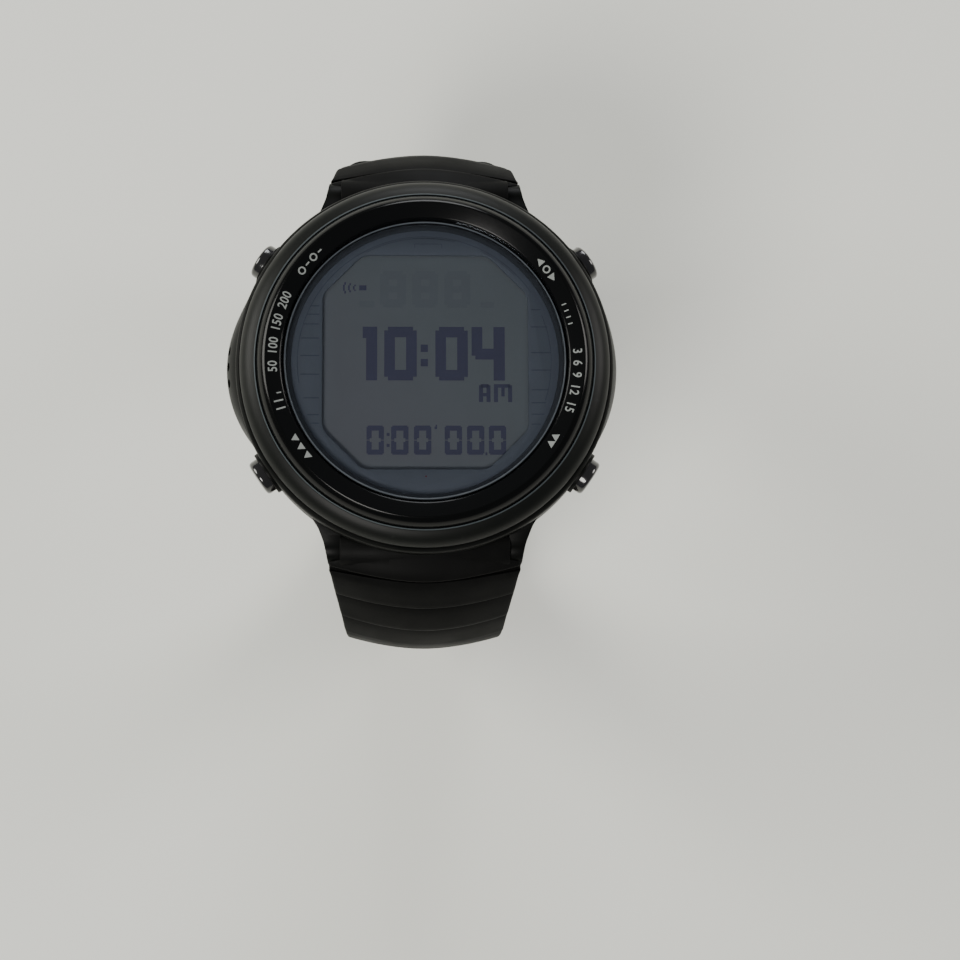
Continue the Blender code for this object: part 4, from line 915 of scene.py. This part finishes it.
def build_dial_print():
    """Graduated bars at both sides of the window and fine arcs round it."""
    lines = []
    for y, length in ((7.3, 1.1), (6.2, 1.6), (4.9, 2.0), (3.05, 2.3), (0.75, 2.4), (-1.7, 2.4),
                      (-4.8, 2.0), (-7.0, 1.5), (-8.1, 1.1)):
        lines.append((-13.75 - length, y - 0.06, -13.75, y + 0.06))
    for y, length in ((6.9, 1.3), (4.6, 2.1), (1.2, 2.5), (-1.1, 2.5), (-3.7, 2.2), (-5.4, 1.9),
                      (-6.9, 1.6), (-8.2, 1.2)):
        lines.append((13.75, y - 0.06, 13.75 + length, y + 0.06))
    lines += [(-1.4, 15.55, 2.2, 15.62), (-1.4, 15.0, -1.33, 15.62), (2.13, 15.0, 2.2, 15.62)]
    bars = plates(lines, MASK_TOP, MASK_TOP + 0.03)
    arcs = [arc_line(16.55, 0.09, 190, 346, MASK_TOP), arc_line(16.35, 0.08, 118, 158, MASK_TOP),
            arc_line(16.35, 0.08, 22, 62, MASK_TOP), arc_line(16.35, 0.06, 64, 84, MASK_TOP),
            arc_line(16.35, 0.06, 96, 116, MASK_TOP)]
    dark = ink_finish("dial_ink", (0.088, 0.093, 0.106), (0.098, 0.102, 0.115))
    finished(join([bars] + arcs), "dial_lines", dark)
    dot = rings([(0.11, MASK_TOP), (0.11, MASK_TOP + 0.02), (0.08, MASK_TOP + 0.03)], 24)
    place(dot, Matrix.Translation((0.08, -15.0, 0)))
    red = ink_finish("dial_red", (0.16, 0.02, 0.02), (0.22, 0.03, 0.03))
    finished(dot, "dial_dot", red)


def arc_line(radius, width, first, last, floor):
    """A thin raised line on an arc, spun from a small square."""
    turn = Matrix.Rotation(math.radians(first), 4, "Z")
    piece = start(bpy.ops.mesh.primitive_plane_add, size=1, rotation=(math.radians(90), 0, 0))
    scale(x=width, z=0.03)
    shift(x=radius, z=floor + 0.015)
    bpy.ops.mesh.spin(steps=int((last - first) / 2), angle=math.radians(last - first),
                      center=(0, 0, 0), axis=(0, 0, 1))
    tidy()
    close()
    return place(piece, turn)


def build_legends():
    """Numbers and plain signs on the legend ring, where the buttons and the scales are."""
    middle = (LEGEND_OUTER[0] + LEGEND_INNER[0]) / 2
    height = (LEGEND_OUTER[1] + LEGEND_INNER[1]) / 2
    fall = math.atan2(LEGEND_OUTER[1] - LEGEND_INNER[1], LEGEND_OUTER[0] - LEGEND_INNER[0])
    made = []
    for first, last, marks, outward in LEGENDS:
        for i, mark in enumerate(marks):
            if mark == " ":
                continue
            angle = math.radians(first + (last - first) * (i + 0.5) / len(marks))
            if not outward:
                angle = math.radians(last - (last - first) * (i + 0.5) / len(marks))
            out = Vector((math.sin(angle), math.cos(angle), 0.0))
            along = Vector((math.cos(angle), -math.sin(angle), 0.0))
            up = out * math.cos(fall) + Vector((0, 0, math.sin(fall)))
            spot = out * middle + Vector((0, 0, height))
            if not outward:
                along, up = -along, -up
            face = along.cross(up)
            spot += face * 0.008
            matrix = Matrix((along, up, face)).transposed().to_4x4()
            matrix.translation = spot
            made.append(place(sign(mark), matrix))
    grey = ink_finish("legend_grey", (0.17, 0.185, 0.175), (0.23, 0.245, 0.232), 0.4)
    finished(join(made), "bezel_legends", grey, smooth=20)


LEGENDS = (
    (48.0, 58.5, "<o>", True),
    (67.0, 77.5, "iiii", True),
    (86.0, 111.0, "3 6 9 12 15", True),
    (120.0, 126.0, "^^", False),
    (228.0, 240.0, "vvv", False),
    (249.0, 258.0, "IIi", True),
    (264.5, 296.0, "50 100 150 200", True),
    (304.0, 317.5, "o=o=", True),
)
SIGN_TALL = 1.25
SIGN_DEPTH = 0.02


def sign(mark):
    """One sign, flat on the XY plane about the origin: a number, a bar, a triangle, a ring or a dash."""
    half = SIGN_TALL / 2
    if mark.isdigit():
        bpy.ops.object.select_all(action="DESELECT")
        bpy.ops.object.text_add()
        text = bpy.context.object
        text.data.body = mark
        text.data.size = 1.68
        text.data.extrude = SIGN_DEPTH / 2
        text.data.align_x = "CENTER"
        text.data.align_y = "CENTER"
        text.data.offset = 0.02
        bpy.ops.object.convert(target="MESH")
        return place(bpy.context.object, Matrix.Diagonal((0.86, 1, 1, 1)))
    if mark in "^v<>":
        turn = {"^": 90, "v": -90, "<": 180, ">": 0}[mark]
        return start_sign(3, 0.62, turn)
    if mark == "o":
        outer = start_sign(28, 0.52, 0)
        return carve(outer, [rod(0.32, -1, 1, 28)])
    wide, tall = {"i": (0.16, half), "I": (0.2, SIGN_TALL), "=": (0.62, 0.2)}[mark]
    low = -half if mark in "iI" else -tall / 2
    return plates([(-wide / 2, low, wide / 2, low + tall)], -SIGN_DEPTH / 2, SIGN_DEPTH / 2)


def start_sign(sides, radius, turn):
    """A flat sign with this many sides."""
    piece = start(bpy.ops.mesh.primitive_cylinder_add, vertices=sides, radius=radius,
                  depth=SIGN_DEPTH, rotation=(0, 0, math.radians(turn - 90)))
    if sides == 3:
        pick("EDGE", lambda a, b: abs(a.z - b.z) > SIGN_DEPTH / 2)
        bpy.ops.mesh.bevel(offset=0.06, segments=2)
    close()
    return piece


# ---------------------------------------------------------------- strap

class Run:
    """A smooth curve in the YZ plane through chosen points, read by distance along it."""

    def __init__(self, points, outward):
        """outward is 1 when the outer face is on the left of the direction of travel, else -1."""
        self.outward = outward
        knots = [Vector(p) for p in points]
        knots = [2 * knots[0] - knots[1], *knots, 2 * knots[-1] - knots[-2]]
        self.points = []
        for a, b, c, d in zip(knots, knots[1:], knots[2:], knots[3:]):
            for i in range(16):
                t = i / 16
                self.points.append(0.5 * (2 * b + (c - a) * t + (2 * a - 5 * b + 4 * c - d) * t * t
                                          + (3 * b - a - 3 * c + d) * t ** 3))
        self.points.append(knots[-2])
        self.marks = [0.0]
        for a, b in zip(self.points, self.points[1:]):
            self.marks.append(self.marks[-1] + (b - a).length)
        self.length = self.marks[-1]

    def across(self, distance, depth=0.0):
        """Carries X to X, Y to the outward normal and Z along the strap at a distance."""
        i = 0
        while i < len(self.marks) - 2 and self.marks[i + 1] < distance:
            i += 1
        share = (distance - self.marks[i]) / (self.marks[i + 1] - self.marks[i])
        here = self.points[i].lerp(self.points[i + 1], share)
        way = (self.points[i + 1] - self.points[i]).normalized()
        normal = Vector((-way.y, way.x)) * self.outward
        here = here - normal * depth
        return Matrix(((1, 0, 0, 0), (0, normal.x, way.x, here.x), (0, normal.y, way.y, here.y),
                       (0, 0, 0, 1)))


def strap_stations(run, ribs, widths, tip):
    """(distance, half width, drop of the outer face, thickness, bow) along a strap half."""
    wide = read(widths, 0.0)
    rows = [(0.0, ROOT_HALF, 0.0, ROOT_THICKNESS, 0.01)]
    rows += [(distance, half, 0.0, ROOT_THICKNESS, FIRST_BOW * distance / ribs[0])
             for distance, half in ((0.7, ROOT_HALF), (1.7, ROOT_HALF), (1.95, ROOT_HALF + 0.6),
                                    (2.3, wide - 0.25), (2.8, wide - 0.04))]
    for i, edge in enumerate(ribs):
        wide = half = read(widths, edge)
        bow = FIRST_BOW if i == 0 else RIB_BOW
        after = 1.7 if i == 0 else bow
        thick = ROOT_THICKNESS + (STRAP_THICKNESS - ROOT_THICKNESS) * edge / ribs[-1]
        rows += [(edge - 0.34, half, 0.0, thick, bow), (edge - 0.16, half, 0.04, thick, bow),
                 (edge - 0.05, half, 0.13, thick, bow), (edge, half, 0.27, thick, bow),
                 (edge + 0.03, half, RIB_DEPTH, thick, bow),
                 (edge + 0.36, wide, RIB_DEPTH, thick, after),
                 (edge + 0.39, wide, RIB_LIFT + 0.17, thick, after),
                 (edge + 0.46, wide, RIB_LIFT + 0.05, thick, after),
                 (edge + 0.62, wide, RIB_LIFT, thick, after)]
        if i + 1 < len(ribs):
            gap = ribs[i + 1] - edge
            for share in (0.35, 0.62, 0.85):
                rows.append((edge + gap * share, read(widths, edge + gap * share),
                             RIB_LIFT * (1 - share), thick, RIB_BOW if i else
                             after + (RIB_BOW - after) * share))
    first = ribs[-1] + 1.2
    last = run.length - (TIP_LENGTH if tip else 0.0)
    count = math.ceil((last - first) / 1.3)
    for i in range(1, count + 1):
        distance = first + (last - first) * i / count
        bow = max(0.01, RIB_BOW * (1 - (distance - first) / 20.0))
        rows.append((distance, read(widths, distance), 0.0, STRAP_THICKNESS, bow))
    if tip:
        wide = read(widths, last)
        for i in range(1, 15):
            share = math.sin(math.pi / 2 * i / 14)
            half = TIP_HALF + (wide - TIP_HALF) * math.sqrt(max(0.0, 1 - share ** 2))
            rows.append((last + TIP_LENGTH * share, half, 0.0, STRAP_THICKNESS, 0.01))
    return rows


def flat_strap(run, rows):
    """The strap half laid flat along +X: one section pulled out from station to station."""
    distance, half, drop, thick, bow = rows[0]
    piece = start(bpy.ops.mesh.primitive_grid_add, x_subdivisions=1, y_subdivisions=24, size=1,
                  rotation=(math.radians(90), 0, math.radians(90)))
    scale(y=thick, z=2 * half)
    shift(y=-thick / 2)
    pick("VERT", lambda co: abs(abs(co.z) - half) < 0.01)
    bpy.ops.mesh.bevel(offset=0.42, segments=4, affect="VERTICES")
    shape = bmesh.from_edit_mesh(piece.data)
    for level in sorted({round(abs(v.co.z), 3) for v in shape.verts}):
        pick("VERT", lambda co: abs(abs(co.z) - level) < 0.001)
        shift(x=-bow * (level / half) ** 1.8)
    bpy.ops.mesh.select_mode(type="FACE")
    bpy.ops.mesh.select_all(action="SELECT")
    high = thick - drop
    for row in rows[1:]:
        pull(x=row[0] - distance)
        next_high = row[3] - row[2]
        shift(y=thick - row[3])
        scale(row[4] / bow, next_high / high, row[1] / half, about=(row[0], -row[3], 0))
        distance, half, drop, thick, bow = row
        high = next_high
    tidy()
    crown(piece, *CROWN_ENDS["upper" if run.outward > 0 else "lower"])
    if run.outward < 0:
        place(piece, Matrix.Diagonal((1, -1, 1, 1)))
    return piece


def crown(piece, fade_from, length):
    """Lower the strip's sides through the ribbed stretch with a cage, which leaves it crowned."""
    data = bpy.data.lattices.new("crown")
    data.points_u, data.points_v, data.points_w = 33, 2, 13
    cage = bpy.data.objects.new("crown", data)
    bpy.context.collection.objects.link(cage)
    low, high, half = -4.0, 0.5, 13.2
    cage.location = (length / 2, (low + high) / 2, 0)
    cage.scale = (length / 32, high - low, 2 * half / 12)
    for point in data.points:
        distance = point.co.x * length / 32 + length / 2
        side = abs(point.co.z) * 2 * half / 12 / CROWN_HALF
        fade = min(1.0, max(0.0, (length - distance) / (length - fade_from)))
        fade = fade * fade * (3 - 2 * fade)
        drop = read(CROWN, distance) * fade * side ** 1.8 * (1.0 if point.co.y > 0 else INNER_CROWN)
        point.co_deform.y -= drop / (high - low)
    modify(piece, "LATTICE", object=cage)
    bpy.data.objects.remove(cage)


def bend_along(piece, run):
    """Bend a flat piece along the strap's run and stand it up in the YZ plane."""
    path = bpy.data.curves.new("strap_run", "CURVE")
    path.dimensions = "2D"
    spline = path.splines.new("POLY")
    spline.points.add(len(run.points) - 1)
    for point, (y, z) in zip(spline.points, run.points):
        point.co = (y, z, 0.0, 1.0)
    guide = bpy.data.objects.new("strap_run", path)
    bpy.context.collection.objects.link(guide)
    modify(piece, "CURVE", object=guide, deform_axis="POS_X")
    bpy.data.objects.remove(guide)
    return place(piece, Matrix(((0, 0, 1, 0), (1, 0, 0, 0), (0, 1, 0, 0), (0, 0, 0, 1))))


def along_x(y, z):
    """Carries +Z to +X through a point of the YZ plane."""
    return Matrix.Translation((0, y, z)) @ Matrix.Rotation(math.radians(90), 4, "Y")


def soft_rod(radius, half, edge, sides=64):
    """A rod along Z about the origin with rounded ends."""
    return rings([(radius - edge, -half), (radius - edge * 0.3, -half + edge * 0.3),
                  (radius, -half + edge), (radius, half - edge),
                  (radius - edge * 0.3, half - edge * 0.3), (radius - edge, half)], sides)


def build_straps():
    """Both strap halves, the keepers and the buckle."""
    lower = Run(LOWER_FACE, -1)
    strip = flat_strap(lower, strap_stations(lower, LOWER_RIBS, LOWER_WIDTHS, True))
    hole = place(rod(HOLE_RADIUS, -6, 6, 40), Matrix.Rotation(math.radians(90), 4, "X"))
    holes = [copy(hole, Matrix.Translation((lower.length - HOLE_END - i * HOLE_PITCH, 0, 0)))
             for i in range(HOLES)]
    bpy.data.objects.remove(hole)
    carve(strip, holes)
    bend_along(strip, lower)
    tube = place(soft_rod(TUBE_RADIUS, ROOT_HALF - 0.05, 0.15), along_x(-PIN_OUT, PIN_Z))
    bore = place(rod(1.05, -12, 12), along_x(-PIN_OUT, PIN_Z))
    carve(strip, [tube], "UNION")
    carve(strip, [bore])
    finished(strip, "strap_long", LOOKS["elastomer_black"], "strap_lower", ["strap_lower"],
             34)

    upper = Run(UPPER_FACE, 1)
    strip = flat_strap(upper, strap_stations(upper, UPPER_RIBS, UPPER_WIDTHS, False))
    carve(strip, [block((upper.length - 4.2, -5, -1.65), (upper.length + 3, 5, 1.65))])
    bend_along(strip, upper)
    hub = upper.across(upper.length - HUB_INSET, STRAP_THICKNESS / 2).translation
    tubes = [place(soft_rod(TUBE_RADIUS, ROOT_HALF - 0.05, 0.15), along_x(PIN_OUT, PIN_Z))]
    for side in (1, -1):
        eye = place(soft_rod(1.7, 4.0, 0.2), along_x(hub.y, hub.z))
        tubes.append(place(eye, Matrix.Translation((side * 5.7, 0, 0))))
    carve(strip, tubes, "UNION")
    carve(strip, [place(rod(1.05, -12, 12), along_x(PIN_OUT, PIN_Z)),
                  place(rod(1.0, -12, 12), along_x(hub.y, hub.z))])
    finished(strip, "strap_short", LOOKS["elastomer_black"], "strap_upper", ["strap_upper"],
             34)

    for name, distance in KEEPERS.items():
        half = read(UPPER_WIDTHS, distance - 10.5) + 0.35
        band = keeper(half, -STRAP_THICKNESS - 0.35, 3.0)
        place(band, upper.across(distance))
        body = "keeper_free" if name == "keeper_free" else "strap_upper"
        finished(band, name + "_band", LOOKS["elastomer_black"], body, [name], 40)
    for name, at in (("strap_pin_upper", PIN_OUT), ("strap_pin_lower", -PIN_OUT)):
        pin = place(soft_rod(0.75, 12.2, 0.2, 32), along_x(at, PIN_Z))
        finished(pin, name + "_rod", LOOKS["bright_steel"], CASE, [name])
    build_buckle(hub)


def keeper(half, low, high, wall=1.4, length=5.0):
    """A band round the strap: a rounded block opened from end to end."""
    piece = block((-half - wall, low - wall, -length / 2), (half + wall, high + wall, length / 2))
    bpy.ops.object.mode_set(mode="EDIT")
    pick("EDGE", lambda a, b: abs(a.z - b.z) > length / 2 and a.y > 0)
    bpy.ops.mesh.bevel(offset=3.6, segments=8)
    pick("EDGE", lambda a, b: abs(a.z - b.z) > length / 2 and a.y < low)
    bpy.ops.mesh.bevel(offset=1.2, segments=5)
    pick("FACE", lambda middle, normal: abs(normal.z) > 0.9)
    bpy.ops.mesh.inset(thickness=wall)
    bpy.ops.mesh.bridge_edge_loops(use_merge=False)
    tidy()
    close()
    return round_edges(piece, 0.4, 3, 50)


def build_buckle(hub):
    """Pin, frame and tongue, hanging from the hub at the end of the short half."""
    about = Matrix.Translation(hub)
    pin = place(soft_rod(0.7, 11.8, 0.15, 32), along_x(hub.y, hub.z))
    finished(pin, "buckle_pin_rod", LOOKS["coated_steel"], "strap_upper", ["buckle_pin"])
    half, room, reach, bar = 12.6, 10.4, 11.6, 2.5
    arm = start(bpy.ops.mesh.primitive_cylinder_add, vertices=48, radius=1.9, depth=2 * half,
                rotation=(0, math.radians(90), 0))
    pick("FACE", lambda middle, normal: normal.z < -0.05 and abs(normal.x) < 0.5)
    pull(z=-reach + bar)
    scale(y=2.0 / 3.8, z=0.001, about=(0, 0, -reach + bar - 0.3))
    shift(y=-0.3)
    pull(z=-bar + 0.3)
    tidy()
    close()
    carve(arm, [block((-room, -5, -reach + bar), (room, 5, 5))])
    round_edges(arm, 0.45, 4, 40)
    finished(place(arm, about), "buckle_bow", LOOKS["coated_steel"], "buckle_frame",
             ["buckle_frame"], 40)
    eye = rings([(1.68, -1.3), (1.68, 1.3)], 48)
    place(eye, along_x(0, 0))
    blade = block((-1.3, 1.0, -8.0), (1.3, 2.2, 0.4))
    bpy.ops.object.mode_set(mode="EDIT")
    pick("FACE", lambda middle, normal: normal.z < -0.9)
    pull(z=-2.6)
    scale(x=0.9, y=0.95, about=(0, 1.0, 0))
    pull(z=-1.3)
    scale(x=0.62, y=0.6, about=(0, 1.0, 0))
    close()
    carve(blade, [eye], "UNION")
    carve(blade, [place(rod(1.0, -3, 3), along_x(0, 0))])
    round_edges(blade, 0.22, 3, 40)
    finished(place(blade, about), "buckle_prong", LOOKS["coated_steel"], "buckle_tongue",
             ["buckle_tongue"], 40)


stage()
build_case()
build_bezel()
build_lens()
build_back()
build_covers()
build_buttons()
build_mask()
build_panel()
build_segments()
build_dial_print()
build_legends()
build_straps()
